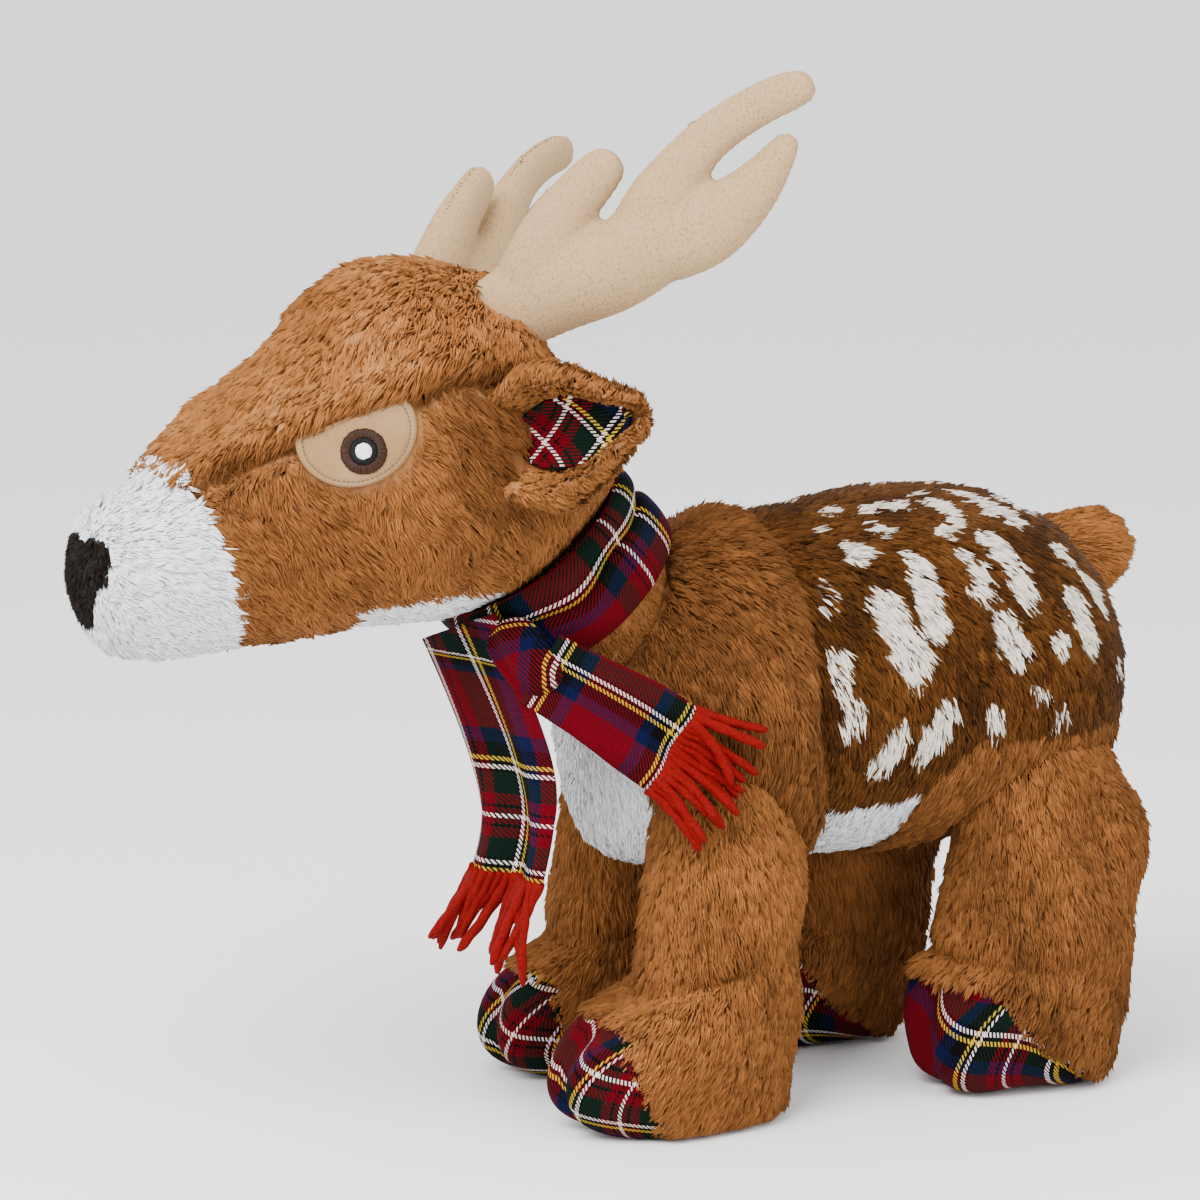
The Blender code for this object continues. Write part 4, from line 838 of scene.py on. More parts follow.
def torso_panel(p):
    """0 shoulders, 1 saddle, 2 chest and belly, 3 hips, from a place on the torso."""
    x, y, z = p[:, 0], p[:, 1], p[:, 2]
    front = shoulder_seam(z)
    low = np.interp(y, (SADDLE_FRONT_Y, SADDLE_HIP_Y, SADDLE_HIP_Y + 0.012), (0.103, 0.110, 0.127))
    chest = (np.abs(x) < 0.034) & (z < 0.152) & (y < 0.050 - (z - 0.099) * 0.45)
    belly = (y >= front) & (y < SADDLE_HIP_Y) & (z < low)
    panel = np.where(y < front, 0, np.where(z >= low, 1, 3))
    return np.where(chest | belly, 2, panel)


def torso_points():
    """The barrel, with a full breast, the shoulders proud of the saddle at their seam and a tuck round the
    tail. Each is a bell curve of the distance from its own middle, along the skin's normal."""
    points, _ = surface(TORSO, 144)
    normals = grid_normals(points)
    x, y, z = points[..., 0], points[..., 1], points[..., 2]
    seam = shoulder_seam(z)
    proud = 0.0046 * step(seam - y, -0.002, 0.001) * hill(seam - y - 0.003, 0.016)
    tuck = -0.0030 * hill(y - seam - 0.0040, 0.005)
    back = 0.0026 * hill(y - 0.100, 0.038) - 0.0024 * hill(y - 0.052, 0.030)
    haunch = 0.0012 * waves(points, 0.07, 3) + back * step(z, 0.165, 0.190)
    breast = 0.010 * hill(x, 0.027) * hill(np.hypot(y + 0.008, z - 0.094), 0.030)
    tail = -0.002 * hill(np.linalg.norm(points - TAIL_ROOT, axis=-1) - 0.018, 0.006)
    moved = points + normals * (proud + tuck + haunch + tail - 0.0008)[..., None]
    return moved + breast[..., None] * np.array([0, -0.60, -0.80])


def body_comb(p, n):
    """Down the sides and back along the spine. Low on the flank it turns forward."""
    z = p[:, 2]
    back = np.interp(z, (0.10, 0.125, 0.150, 0.185, 0.20), (-0.45, -0.15, 0.35, 0.75, 1.1))
    out = np.sign(p[:, 0]) * 0.25
    return np.stack([out, back, np.full(len(p), -1.0)], -1)


def flank(y, z):
    """The place on the torso's left side at a height: where the ellipse there reaches it."""
    middle, side, up = (
        np.array([np.interp(y, TORSO["along"], TORSO[key][:, k]) for k in range(3)])
        for key in ("middle", "side", "up"))
    rise = min(max((z - middle[2]) / up[2], -1), 1)
    return middle + side * math.sqrt(max(1 - rise * rise, 0.02)) + up * rise


def spot_tone(roots, tuft, rng):
    """Pale where a root lies in a streak, and brown elsewhere. The right side's streaks sit further
    forward."""
    x, y, z = roots.T
    drift = 0.0012 * waves(roots, 0.012, 41)
    here = np.stack([np.abs(x), y + np.where(x < 0, 0.0045, 0.0), z], -1)
    pale = np.zeros(len(roots))
    for y0, z0, y1, z1, half, strength in SPOTS:
        gap, _ = to_line(here, flank(y0, z0), flank(y1, z1))
        pale = np.maximum(pale, strength * (gap + drift < half * 0.95 + 0.0008))
    slow = waves(roots, 0.03, 8) * 0.06
    brown = np.clip(0.18 + slow + 0.06 * tuft + rng.normal(0, 0.04, len(roots)), 0.01, 0.50)
    spot = np.clip(0.62 + 0.30 * pale + 0.04 * tuft + rng.normal(0, 0.04, len(roots)), 0.6, 0.98)
    return np.where(rng.random(len(roots)) < pale * 0.96, spot, brown)


class DEER_OT_torso(bpy.types.Operator):
    """Makes the filled barrel, and the pile of its four panels"""
    bl_idname = "deer.torso"
    bl_label = "Torso"

    def execute(self, context):
        props = context.scene.deer_plush
        points = torso_points()
        grounds = [ground(word) for word in ("tan", "brown", "white")]
        barrel = closed_form("torso_filling", points, grounds,
                             lambda p: np.array([0, 1, 2, 0])[torso_panel(p)])
        filled(barrel, "tan_plush", 0.85, "torso", "torso_stuffing")
        thinner = {"width": props.pile_width * 1.08, "density": props.density * 0.86}
        panels = (
            ("shoulder", "tan", usual_tone(0.10), 1.05, {}),
            ("saddle", "spotted", spot_tone, 0.92, thinner),
            ("chest_and_belly", "white", usual_tone(0.7, 0.10), 0.6, {"lift": (28, 5)}),
            ("hip", "tan", usual_tone(0.18), 1, {}),
        )
        for panel, (part, word, tone, share, more) in enumerate(panels):
            def keep(p, n):
                return (torso_panel(p) == panel) & outside(p, *LEGS.values(), NECK) & (level(TAIL, p) > 0.95)
            pile(part + "_plush", points, word, "torso", body_comb, keep, tone, props.pile_length * share,
                 100 + panel * 10, part + "_skin", **more)
        return {"FINISHED"}


class DEER_OT_neck(bpy.types.Operator):
    """Makes the filled neck and its pile"""
    bl_idname = "deer.neck"
    bl_label = "Neck"

    def execute(self, context):
        points, _ = surface(NECK, 96)
        core = closed_form("neck_filling", points, [ground("tan")])
        filled(core, "tan_plush", 0.8, "torso", "neck_stuffing")

        def keep(p, n):
            return outside(p, TORSO, margin=0.97) & ((NECK_TOP - p) @ NECK_UP > 0.0005)

        pile("neck_plush", points, "tan", "torso", lambda p, n: np.broadcast_to(-NECK_UP, p.shape), keep,
             usual_tone(0.34), context.scene.deer_plush.pile_length * 0.5, 160, "neck_skin", lift=(25, 4))
        return {"FINISHED"}


# Head

def over_brow(p):
    return p[..., 2] - np.interp(p[..., 1], *np.array(BROW_LINE).T)


def head_points():
    """The head's loft, with a dip at its bridge, a low nape, a full forehead that stands proud of the cheek
    along their seam, and a fold behind the jaw."""
    points, _ = surface(HEAD, 160)
    normals = grid_normals(points)
    x, y, z = points[..., 0], points[..., 1], points[..., 2]
    over = over_brow(points)
    aside = step(np.abs(x), 0.008, 0.020) * step(y, -0.178, -0.164) * (1 - step(y, -0.078, -0.064))
    brow = aside * (0.0046 * hill(over - 0.0050, 0.0060) - 0.0030 * hill(over + 0.0022, 0.0034))
    flat = np.stack([y, z], -1)
    fold = -0.0024 * hill(to_path(flat, CHEEK_FOLD), 0.0030) * step(np.abs(x), 0.02, 0.032)
    crown = np.interp(y, *np.array(CROWN_LINE).T) * step(normals[..., 2], 0.25, 0.75)
    nape = -0.0165 * step(y, -0.058, -0.028) * step(z, 0.228, 0.252)
    tip = -0.0026 * (1 - step(y, -0.197, -0.184))
    jaw = -0.0046 * hill(y + 0.098, 0.032) * step(-normals[..., 2], 0.4, 0.9)
    cheek = 0.0016 * hill(np.linalg.norm(flat - np.array([-0.105, 0.195]), axis=-1), 0.022)
    cheek = cheek * step(np.abs(x), 0.015, 0.03)
    return points + normals * (brow + fold + crown + nape + jaw + tip + cheek)[..., None]


def eye_frame(side):
    out = unit(np.array([side * math.sin(EYE_TURN), -math.cos(EYE_TURN), math.tan(EYE_RISE)]))
    across = unit(np.cross([0, 0, 1], out)) * side
    back = unit(across * math.cos(EYE_SLANT) + np.cross(out, across) * side * math.sin(EYE_SLANT))
    up = np.cross(out, back) * side
    return out, back, up, EYE * np.array([side, 1, 1]) + out * HEAD_WIDTH / 4


def patch_share(p, grow=0.0):
    """Below 1 inside the eye patch's outline grown by a distance, and how far above its brow edge a point
    is."""
    share, brow = np.full(len(p), 9.0), np.full(len(p), -1.0)
    for _, side in SIDES:
        _, back, up, origin = eye_frame(side)
        u, v = (p - origin) @ back, (p - origin) @ up - PATCH_RISE
        near = p[:, 0] * side > 0
        round_it = np.hypot(u / (PATCH_RADIUS + grow), v / (PATCH_RADIUS * PATCH_DROP + grow))
        value = np.maximum(round_it, np.where(v > PATCH_BROW + grow, 2.0, 0.0))
        share = np.where(near, value, share)
        brow = np.where(near, v - PATCH_BROW, brow)
    return share, brow


def muzzle_side(p):
    """Positive in front of the muzzle's seam."""
    return np.interp(p[:, 2], (0.150, 0.160, 0.229, 0.240), (-0.143, -0.146, -0.168, -0.1715)) - p[:, 1]


def nose_outline():
    half = [(x * NOSE_HALF_WIDTH, NOSE_TOP_Z - z * NOSE_HEIGHT) for x, z in NOSE_HALF]
    return np.array(half + [(-x, z) for x, z in reversed(half[1:])])


def in_outline(x, z, outline):
    """True where a ray to the right crosses the outline an odd number of times."""
    inside = np.zeros(np.shape(x), bool)
    for (x0, z0), (x1, z1) in zip(outline, np.roll(outline, -1, 0)):
        crosses = (z0 > z) != (z1 > z)
        inside ^= crosses & (x < x0 + (x1 - x0) * (z - z0) / (z1 - z0 + 1e-12))
    return inside


def in_nose(p):
    return in_outline(p[:, 0], p[:, 2], nose_outline()) & (p[:, 1] < -0.17)


def head_panel(p):
    """0 tan, 1 white, 2 black."""
    throat = (p[:, 2] < 0.184) & (p[:, 1] > -0.112) & (np.abs(p[:, 0]) < 0.034)
    white = (muzzle_side(p) > 0) | throat
    return np.where(in_nose(p), 2, np.where(white, 1, 0))


def head_comb(p, n):
    """From the muzzle back over the crown, down the forehead to the brow, and down and back over the
    cheeks."""
    x, y, _ = p.T
    top = step(over_brow(p), -0.002, 0.002)[:, None]
    drift = 0.25 * waves(p, 0.030, 71)
    out = np.clip(x / 0.03, -1, 1) * 0.35
    forehead = np.stack([out, -0.60 + drift, np.full(len(p), -0.85)], -1)
    cheek = np.stack([np.sign(x) * 0.1, 0.55 + 1.4 * drift, np.full(len(p), -0.85)], -1)
    crown = np.stack([out, 0.55 + drift, np.full(len(p), -0.8)], -1)
    behind = step(y, -0.070, -0.040)[:, None]
    low = cheek * (1 - behind) + np.array([0, 0.35, -1.0]) * behind
    high = forehead * (1 - behind) + crown * behind
    return low * (1 - top) + high * top


def ear_root(side):
    return EAR_ROOT * np.array([side, 1, 1])


def off_the_head(p):
    """False under the eye patches, inside the neck and at the roots of the antlers and ears."""
    share, _ = patch_share(p, 0.0002)
    tucked = ((p - NECK_TOP) @ NECK_UP < 0.0) & (level(NECK, p) < 1.0)
    rims = np.ones(len(p), bool)
    for _, side in SIDES:
        rims &= np.linalg.norm(p - antler_root(side), axis=-1) > 0.0085
        rims &= np.linalg.norm(p - ear_root(side), axis=-1) > 0.0060
    return (share > 1) & ~tucked & rims


def head_length(p):
    """Pile length on the head: shorter beside the eyes, at the muzzle's seam, in the brow's crease and
    behind."""
    share, brow = patch_share(p, 0.0)
    near_eye = 1 - 0.35 * (hill(share - 1, 0.25) * (brow < 0.001))
    seam = 1 - 0.35 * hill(muzzle_side(p), 0.012)
    crease = 1 - 0.45 * hill(over_brow(p) + 0.002, 0.004) * (over_brow(p) < 0.001)
    back = 1 - 0.45 * step(p[:, 1], -0.050, -0.030)
    return bpy.context.scene.deer_plush.pile_length * 0.92 * near_eye * seam * crease * back


def head_tone(roots, tuft, rng):
    """Paler on the forehead, with painted shade in the brow's crease and round the ears."""
    over = over_brow(roots)
    ears = [np.linalg.norm((roots - ear_root(side)) - 0.012 * ear_axes(side)[:, 0], axis=-1)
            for _, side in SIDES]
    # Painted shade: lower tones in the brow's crease and near the ears, where shadow falls
    centre = 0.28 + 0.21 * step(over, -0.001, 0.004) - 0.16 * hill(over + 0.003, 0.004)
    return usual_tone(centre - 0.22 * (1 - step(np.minimum(*ears), 0.026, 0.038)))(roots, tuft, rng)


class DEER_OT_head(bpy.types.Operator):
    """Makes the filled head, the tan pile of brow and cheeks, the white muzzle and the black nose"""
    bl_idname = "deer.head"
    bl_label = "Head"

    def execute(self, context):
        props = context.scene.deer_plush
        points = head_points()
        grounds = [ground(word) for word in ("tan", "white", "black")]
        core = closed_form("head_filling", points, grounds, head_panel)
        filled(core, "tan_plush", 0.9, "head", "head_stuffing")
        halves = ("brow_plush", lambda p: over_brow(p) > 0), ("cheek_plush", lambda p: over_brow(p) <= 0)
        for seed, (name, half) in enumerate(halves):
            pile(name, points, "tan", "head", head_comb,
                 lambda p, n: off_the_head(p) & (head_panel(p) == 0) & half(p), head_tone, head_length,
                 200 + 10 * seed, "head_skin", lift=(27, 5))
        pile("muzzle_plush", points, "white", "head", lambda p, n: np.broadcast_to([0, 1.0, -0.35], p.shape),
             lambda p, n: off_the_head(p) & (head_panel(p) == 1), usual_tone(0.8, 0.08),
             props.pile_length * 0.6, 230, "muzzle_skin", lift=(30, 4), density=props.density * 1.2,
             width=0.0006)

        def nose_comb(p, n):
            return np.stack([p[:, 0] * 20, np.zeros(len(p)), np.full(len(p), -0.6)], -1)

        pile("nose_plush", points, "black", "head", nose_comb, lambda p, n: head_panel(p) == 2,
             usual_tone(0.4, 0.2), 0.0036, 240, "nose", lift=(50, 26), density=4.0, width=0.0006, clump=0.002,
             pull=0.3)
        return {"FINISHED"}


# Eyes

def on_head(points, out):
    """Moves points along a direction onto the head's smooth loft, by halving the stretch that crosses its
    skin."""
    low = np.full(points.shape[:-1], -0.06)
    high = np.full(points.shape[:-1], 0.03)
    for _ in range(36):
        mid = (low + high) / 2
        inside = level(HEAD, points + mid[..., None] * out) < 1
        low, high = np.where(inside, mid, low), np.where(inside, high, mid)
    return points + low[..., None] * out


def patch_outline(angle):
    """The eye patch: a circle drawn in below and cut straight along the brow."""
    return np.stack([PATCH_RADIUS * np.cos(angle),
                     np.minimum(PATCH_RADIUS * PATCH_DROP * np.sin(angle), PATCH_BROW) + PATCH_RISE], -1)


def radial_threads(inner, outer, count, rng):
    """Start, middle and end places of satin threads across a ring, with uneven ends, in the eye's plane."""
    turn = np.linspace(0, 2 * np.pi, count, endpoint=False) + rng.normal(0, 0.012, count)
    share = np.linspace(0, 1, 7)[None, :]
    start = (inner - 0.00025 * rng.random(count))[:, None]
    stop = (outer + 0.0003 * rng.random(count))[:, None]
    radius = start + (stop - start) * share
    return np.stack([radius * np.cos(turn)[:, None], radius * np.sin(turn)[:, None]], -1)


class DEER_OT_eyes(bpy.types.Operator):
    """Makes the suede half moons, their edge stitching and the three rings of satin stitch"""
    bl_idname = "deer.eyes"
    bl_label = "Eyes"

    def execute(self, context):
        props = context.scene.deer_suede
        suede = suede_finish("eye_patch_microsuede", list(props.patch), colour("806242"))
        edge_thread = thread_finish("edge_polyester_thread", colour("6B5946"), 0.6)
        threads = {part: thread_finish(part + "_rayon_thread", list(getattr(props, part)))
                   for part in ("iris", "pupil", "glint")}
        rng = np.random.default_rng(31)
        heart = np.array([0.0, PATCH_RISE - 0.0045])
        share, raised = np.array(PATCH_SECTION).T
        for word, side in SIDES:
            out, back, up, origin = eye_frame(side)

            def lay(flat, raised):
                """Places in the eye's plane, laid on the head and raised off it."""
                spots = origin + flat[..., :1] * back + flat[..., 1:] * up
                return on_head(spots, out) + np.broadcast_to(raised, flat.shape[:-1])[..., None] * out

            def stitched(part, lines, radii, thread, slot, *nodes, **more):
                """Threads along lines, on the head."""
                made = tubes(f"{word}_eye_{part}_stitch", lines, np.broadcast_to(radii, lines.shape[:2]), 6,
                             [thread], **more)
                dress(made, slot, "head", *nodes)

            rim = patch_outline(np.linspace(0, 2 * np.pi, 144, endpoint=False))
            flat = heart + share[:, None, None] * (rim - heart)
            body = lay(flat, raised[:, None] * 0.001)
            patch = closed_form(word + "_eye_suede", body if side > 0 else body[:, ::-1], [suede])
            dress(patch, "suede_cloth", "head", word + "_eye_patch")
            line = patch_outline(np.linspace(-1.13, 0.13, 220) * np.pi)
            path = lay(heart + 0.885 * (line - heart), 0.00195)
            dashes = np.stack([path[k:k + 4] for k in np.arange(0, len(path) - 5, 5)])
            stitched("edge", dashes, 0.00022, edge_thread, "brown_thread")
            rings = (
                ("iris", 0.0039, 0.0070, 104, "brown_thread", 0.00245),
                ("pupil", 0.0022, 0.0041, 64, "black_thread", 0.0027),
            )
            for part, inner, outer, count, slot, height in rings:
                flat = radial_threads(inner, outer, count, rng)
                arch = height + 0.00045 * np.sin(np.linspace(0, np.pi, flat.shape[1]))
                wide = np.linalg.norm(flat, axis=-1) * np.pi / count * 1.25
                stitched(part, lay(flat, arch), wide, threads[part], slot, f"{word}_eye_{part}", up=out)
            offset = np.linspace(-0.0022, 0.0022, 12)
            reach = np.sqrt(0.0025 ** 2 - offset ** 2)
            along = np.linspace(-1, 1, 7)[None, :] * reach[:, None]
            flat = np.stack([along, np.broadcast_to(offset[:, None], along.shape)], -1)
            arch = 0.0030 + 0.0004 * np.cos(np.linspace(-1.5, 1.5, 7))
            stitched("glint", lay(flat, arch), 0.00026, threads["glint"], "white_thread", word + "_eye_glint",
                     up=out)
        return {"FINISHED"}


# Antlers

def antler_matrix(side):
    """Columns run outwards and back, through the thickness, and up."""
    out = np.array([side * math.cos(ANTLER_TURN), math.sin(ANTLER_TURN), 0])
    up = np.array([0, 0, 1.0])
    across = np.cross(up, out)
    axes = np.stack([out, across, up], 1)
    if side < 0:
        c, s = math.cos(ANTLER_RIGHT_DROOP), math.sin(ANTLER_RIGHT_DROOP)
        axes = axes @ np.array([[c, 0, s], [0, 1, 0], [-s, 0, c]])
    return axes


def antler_root(side):
    """Where an antler leaves the head. The right one sits a little further forward."""
    return ANTLER_ROOT * np.array([side, 1, 1]) - np.array([0, ANTLER_RIGHT_SLIP if side < 0 else 0, 0])


def seam_stitches(name, item, path, thick):
    """Short stitches across a seam: a ladder of threads laid on the skin's points nearest to a path, each
    one slanted along it."""
    points, normals = points_of(item), normals_of(item)
    rng = np.random.default_rng(len(path) + len(points) % 97)
    lengths = np.linalg.norm(np.diff(path, axis=0), axis=-1)
    far = np.concatenate([[0], np.cumsum(lengths)])
    places = np.interp(np.arange(0, lengths.sum(), STITCH_GAP), far, np.arange(len(path)))
    spots = np.stack([np.interp(places, np.arange(len(path)), path[:, k]) for k in range(3)], -1)
    near = np.argmin(((spots[:, None] - points[None]) ** 2).sum(-1), 1)
    spots, up = points[near], normals[near]
    ahead = unit(np.gradient(spots, axis=0))
    reach = thick * rng.uniform(0.0004, 0.0009, (len(spots), 1))
    reach = reach + ahead * rng.normal(0.0005, 0.0003, (len(spots), 1))
    lines = np.stack([spots - reach, spots + up * 0.00022, spots + reach], 1)
    thread = thread_finish("seam_polyester_thread", colour("5C4A34"), 0.6)
    return tubes(name, lines, np.full(lines.shape[:2], 0.00014), 5, [thread])


def branch(rows):
    """A flattened tube along a branch: a B-spline through its places and half widths, closed at both ends
    by a quarter circle of rings."""
    rows = np.array(rows, float) * ANTLER_REACH
    ahead = rows[-1, :2] - rows[-2, :2]
    behind = rows[1, :2] - rows[0, :2]
    tip = [*(ahead / np.linalg.norm(ahead) * rows[-1, 2] * 0.45), -rows[-1, 2] * 0.30]
    rows = np.concatenate([[rows[0] - [*behind, 0]], rows, [rows[-1] + tip]])
    t = np.linspace(1, len(rows) - 2, 44)
    got = spline(np.concatenate([rows[:1], rows, rows[-1:]]), t + 1)
    centre = np.stack([got[:, 0], np.zeros(len(got)), got[:, 1]], -1)
    radius = got[:, 2]
    tangent = unit(np.gradient(centre, axis=0))
    wide = np.cross([0, 1.0, 0], tangent)
    cap = np.linspace(np.pi / 2, 0, 9)[:-1]
    extra = []
    for at, sign in ((0, -1), (-1, 1)):
        push = radius[at] * np.cos(cap)[:, None] * tangent[at] * sign * 0.9
        extra.append((centre[at] + push, radius[at] * np.sin(cap)))
    centre = np.concatenate([extra[0][0][::-1], centre, extra[1][0]])
    radius = np.concatenate([extra[0][1][::-1], radius, extra[1][1]])
    wide = np.concatenate([np.repeat(wide[:1], len(cap), 0), wide, np.repeat(wide[-1:], len(cap), 0)])
    angle = np.linspace(0, 2 * np.pi, 40, endpoint=False)[None, :, None]
    return centre[:, None] + radius[:, None, None] * (
        np.cos(angle) * wide[:, None] + ANTLER_FLATNESS * np.sin(angle) * np.array([0, 1.0, 0]))


class DEER_OT_antlers(bpy.types.Operator):
    """Makes the two forked antlers of stuffed microsuede, with a seam round their edge"""
    bl_idname = "deer.antlers"
    bl_label = "Antlers"

    def execute(self, context):
        props = context.scene.deer_suede
        suede = suede_finish("brushed_microsuede", list(props.light), list(props.dark))
        for word, side in SIDES:
            axes = antler_matrix(side)
            root = antler_root(side)
            parts, edges = [], []
            for k, rows in enumerate((BEAM, UPPER, LOWER, TINE)):
                grid = branch(rows)
                grid[0], grid[-1] = grid[0].mean(0), grid[-1].mean(0)
                if rows in (UPPER, TINE):
                    edges.append(grid[22:52, 20])
                parts.append(closed_form(f"{word}_antler_branch_{k}", grid, [suede]))
            with bpy.context.temp_override(active_object=parts[0], selected_editable_objects=parts):
                bpy.ops.object.join()
            item = parts[0]
            item.name = word + "_antler_suede"
            shell = item.modifiers.new("one_skin", "REMESH")
            shell.mode = "VOXEL"
            shell.voxel_size = 0.0010
            soft = item.modifiers.new("rounded_forks", "SMOOTH")
            soft.factor = 0.5
            soft.iterations = 9
            baked(item)
            local, normals = points_of(item), normals_of(item)
            seam = hill(local[:, 1], 0.00075)
            along = (local[:, 0] + local[:, 2]) * 2 * np.pi / PUCKER_GAP
            pucker = 0.5 + 0.5 * np.sin(along + 2 * waves(local, 0.02, 17))
            beside = hill(np.abs(local[:, 1]) - 0.0022, 0.0016)
            lumps = 0.00030 * waves(local, 0.030, 23)
            local = local + normals * (-0.00085 * seam - 0.00030 * beside * pucker + lumps)[:, None]
            set_points(item, local @ axes.T + root)
            if np.linalg.det(axes) < 0:
                item.data.flip_normals()
            item.data.materials.clear()
            item.data.materials.append(suede)
            item.data.shade_smooth()
            filled(item, "suede_cloth", 0.9, word + "_antler", word + "_antler")
            for k, edge in enumerate(edges):
                name = f"{word}_antler_stitches_{k}"
                made = seam_stitches(name, item, edge @ axes.T + root, axes[:, 1])
                dress(made, "brown_thread", word + "_antler")
        return {"FINISHED"}


# Ears

def ear_axes(side):
    out = unit(np.array([side * math.cos(EAR_TURN), math.sin(EAR_TURN), math.tan(EAR_RISE)]))
    face = unit(np.cross(out, [0, 0, 1])) * side
    up = np.cross(face, out)
    return np.stack([out, up, face], 1)


def leaf_height(along, across, half):
    """How far the cupped leaf rises off its plane: a parabola across it, deepest near the root."""
    share = np.clip(along / EAR_LENGTH, 0, 1)
    return (across / (EAR_WIDTH / 2)) ** 2 * EAR_CUP - EAR_CUP * half / (EAR_WIDTH / 2) * (1 - share)


def leaf_half(share):
    """Half the ear's width: a B-spline through its shares, from its root to its tip."""
    widths = np.array([EAR_SHARES[0]] * 2 + list(EAR_SHARES) + [0.0, -0.3])
    return spline(widths[:, None], np.clip(share, 0, 1) * EAR_STEPS + 2)[:, 0] * EAR_WIDTH / 2


def lining_half(along):
    """Half the lining's width: a leaf that opens fast behind the root and closes to a blunt tip."""
    return np.interp(along, (-0.0010, 0.0015, 0.006, 0.014, 0.024, 0.033, 0.040, 0.043, 0.0440),
                     (0.0003, 0.0050, 0.0086, 0.0108, 0.0112, 0.0094, 0.0062, 0.0036, 0.0003))


class DEER_OT_ears(bpy.types.Operator):
    """Makes the cupped plush ears and their checked linings"""
    bl_idname = "deer.ears"
    bl_label = "Ears"

    def execute(self, context):
        props = context.scene.deer_plush
        share = np.linspace(0, 1, 60)
        half = np.maximum(leaf_half(share), 0.0002)
        reach = -0.006 + (EAR_LENGTH + 0.006) * share
        for word, side in SIDES:
            axes = ear_axes(side)
            root = ear_root(side)
            points = self.leaf(reach, half) @ axes.T + root
            points = points if side > 0 else points[:, ::-1]
            body = closed_form(word + "_ear_filling", points, [ground("tan")])
            filled(body, "tan_plush", 0.7, word + "_ear", word + "_ear")

            def place(p):
                here = (p - root) @ axes
                return here[:, 0], here[:, 1] - EAR_SHIFT

            def comb(p, n):
                far, wide = place(p)
                edge = np.maximum(np.interp(far, reach, half), 0.004)
                return np.stack([np.full(len(p), 0.9), 1.5 * wide / edge, np.zeros(len(p))], -1) @ axes.T

            def keep(p, n):
                far, wide = place(p)
                return ~((n @ axes[:, 2] > 0.1) & (np.abs(wide) < lining_half(far) - 0.0010))

            pile(word + "_ear_plush", points, "tan", word + "_ear", comb, keep, usual_tone(0.42),
                 props.pile_length * 0.55, 300 + side, density=props.density * 1.7, lift=(34, 12),
                 jitter=0.10, clump=0.0026)
            local, uv = self.lining(reach, half)
            cloth = cloth_piece(word + "_ear_lining_cloth", local @ axes.T + root, uv, side < 0)
            dress(cloth, "checked_cloth", word + "_ear", word + "_ear_lining")
        return {"FINISHED"}

    def leaf(self, reach, half):
        """The ear's own places: a thin cupped leaf, whose rim swells to a roll on its front."""
        angle = np.linspace(0, 2 * np.pi, 96, endpoint=False)[None]
        half = half[:, None]
        across = half * np.cos(angle)
        along = reach[:, None] + 0 * across
        edge = np.abs(np.cos(angle))
        roll = 0.0082 * hill(edge - 0.80, 0.20) * (1 - edge ** 12)
        thick = np.where(np.sin(angle) > 0, 0.0016 * np.sin(angle) + roll, 0.0040 * np.sin(angle))
        height = leaf_height(along, across, half) + np.sqrt(np.clip(half / 0.012, 0, 1)) * thick
        local = np.stack([along, across + EAR_SHIFT, height], -1)
        local[0], local[-1] = local[0].mean(0), local[-1].mean(0)
        return local

    def lining(self, reach, half):
        """The lining's own places, laid on the leaf with its edge turned up, and how the check lies on
        it."""
        rows, columns = 44, 48
        along = np.linspace(-0.0010, 0.0440, rows)[:, None]
        inner = np.linspace(-1, 1, columns)[None]
        across = lining_half(along) * inner
        height = leaf_height(along + 0 * across, across, np.interp(along, reach, half))
        height = height + 0.0030 + 0.0022 * np.abs(inner) ** 4
        height = height + 0.0005 * np.sin((along + 0 * across) / 0.004 + 2 * inner)
        across = across + EAR_SHIFT
        along = along + 0 * across
        uv = np.stack([along * 0.8 + across * 0.6 + 0.034, across * 0.8 - along * 0.6 + 0.047], -1)
        return np.stack([along, across, height], -1), uv


# Legs

def leg_points(word, grown=0.0):
    """The leg's loft with the toe's cleft and lobes in front, an ankle crease, a full haunch and a flat
    sole."""
    shape = LEGS[word]
    points, angle = surface(shape, 144, start=math.pi / 2)
    turn = (angle + math.pi / 2 + math.pi) % (2 * math.pi) - math.pi
    notch = np.interp(shape["row"], np.arange(6), [row[4] for row in LEG_RINGS])[:, None]
    push = notch * (-0.0062 * hill(turn, 0.26) + 0.0030 * hill(np.abs(turn) - 0.72, 0.36))
    points = points - unit(shape["up"])[:, None] * push[..., None]
    normals = grid_normals(points)
    y, z = points[..., 1], points[..., 2]
    centre = LEG_PLACES[word][1]
    hind = "hind" in word
    base, slope, depth = HIND_ANKLE if hind else FRONT_ANKLE
    ahead = step(centre - y, -0.012, 0.012)
    crease = -depth * hill(z - (base + slope * (centre - y)), 0.0048) * (0.15 + 0.85 * ahead)
    fullness = 0.0014 * waves(points, 0.045, 50 + len(word)) + (0.0022 * hill(z - 0.028, 0.016) * ahead)
    haunch = 0.0054 * hill(z - 0.086, 0.042) * step(y - centre, 0.008, 0.024) if hind else 0.0
    points = points + normals * (crease + fullness + haunch + grown)[..., None]
    if word == "right_front":
        points[..., 1] += 0.008 * step(centre - points[..., 1], 0.012, 0.046) * (1 - step(z, 0.045, 0.065))
    points[..., 2] = np.maximum(points[..., 2], 0.0006)
    return points


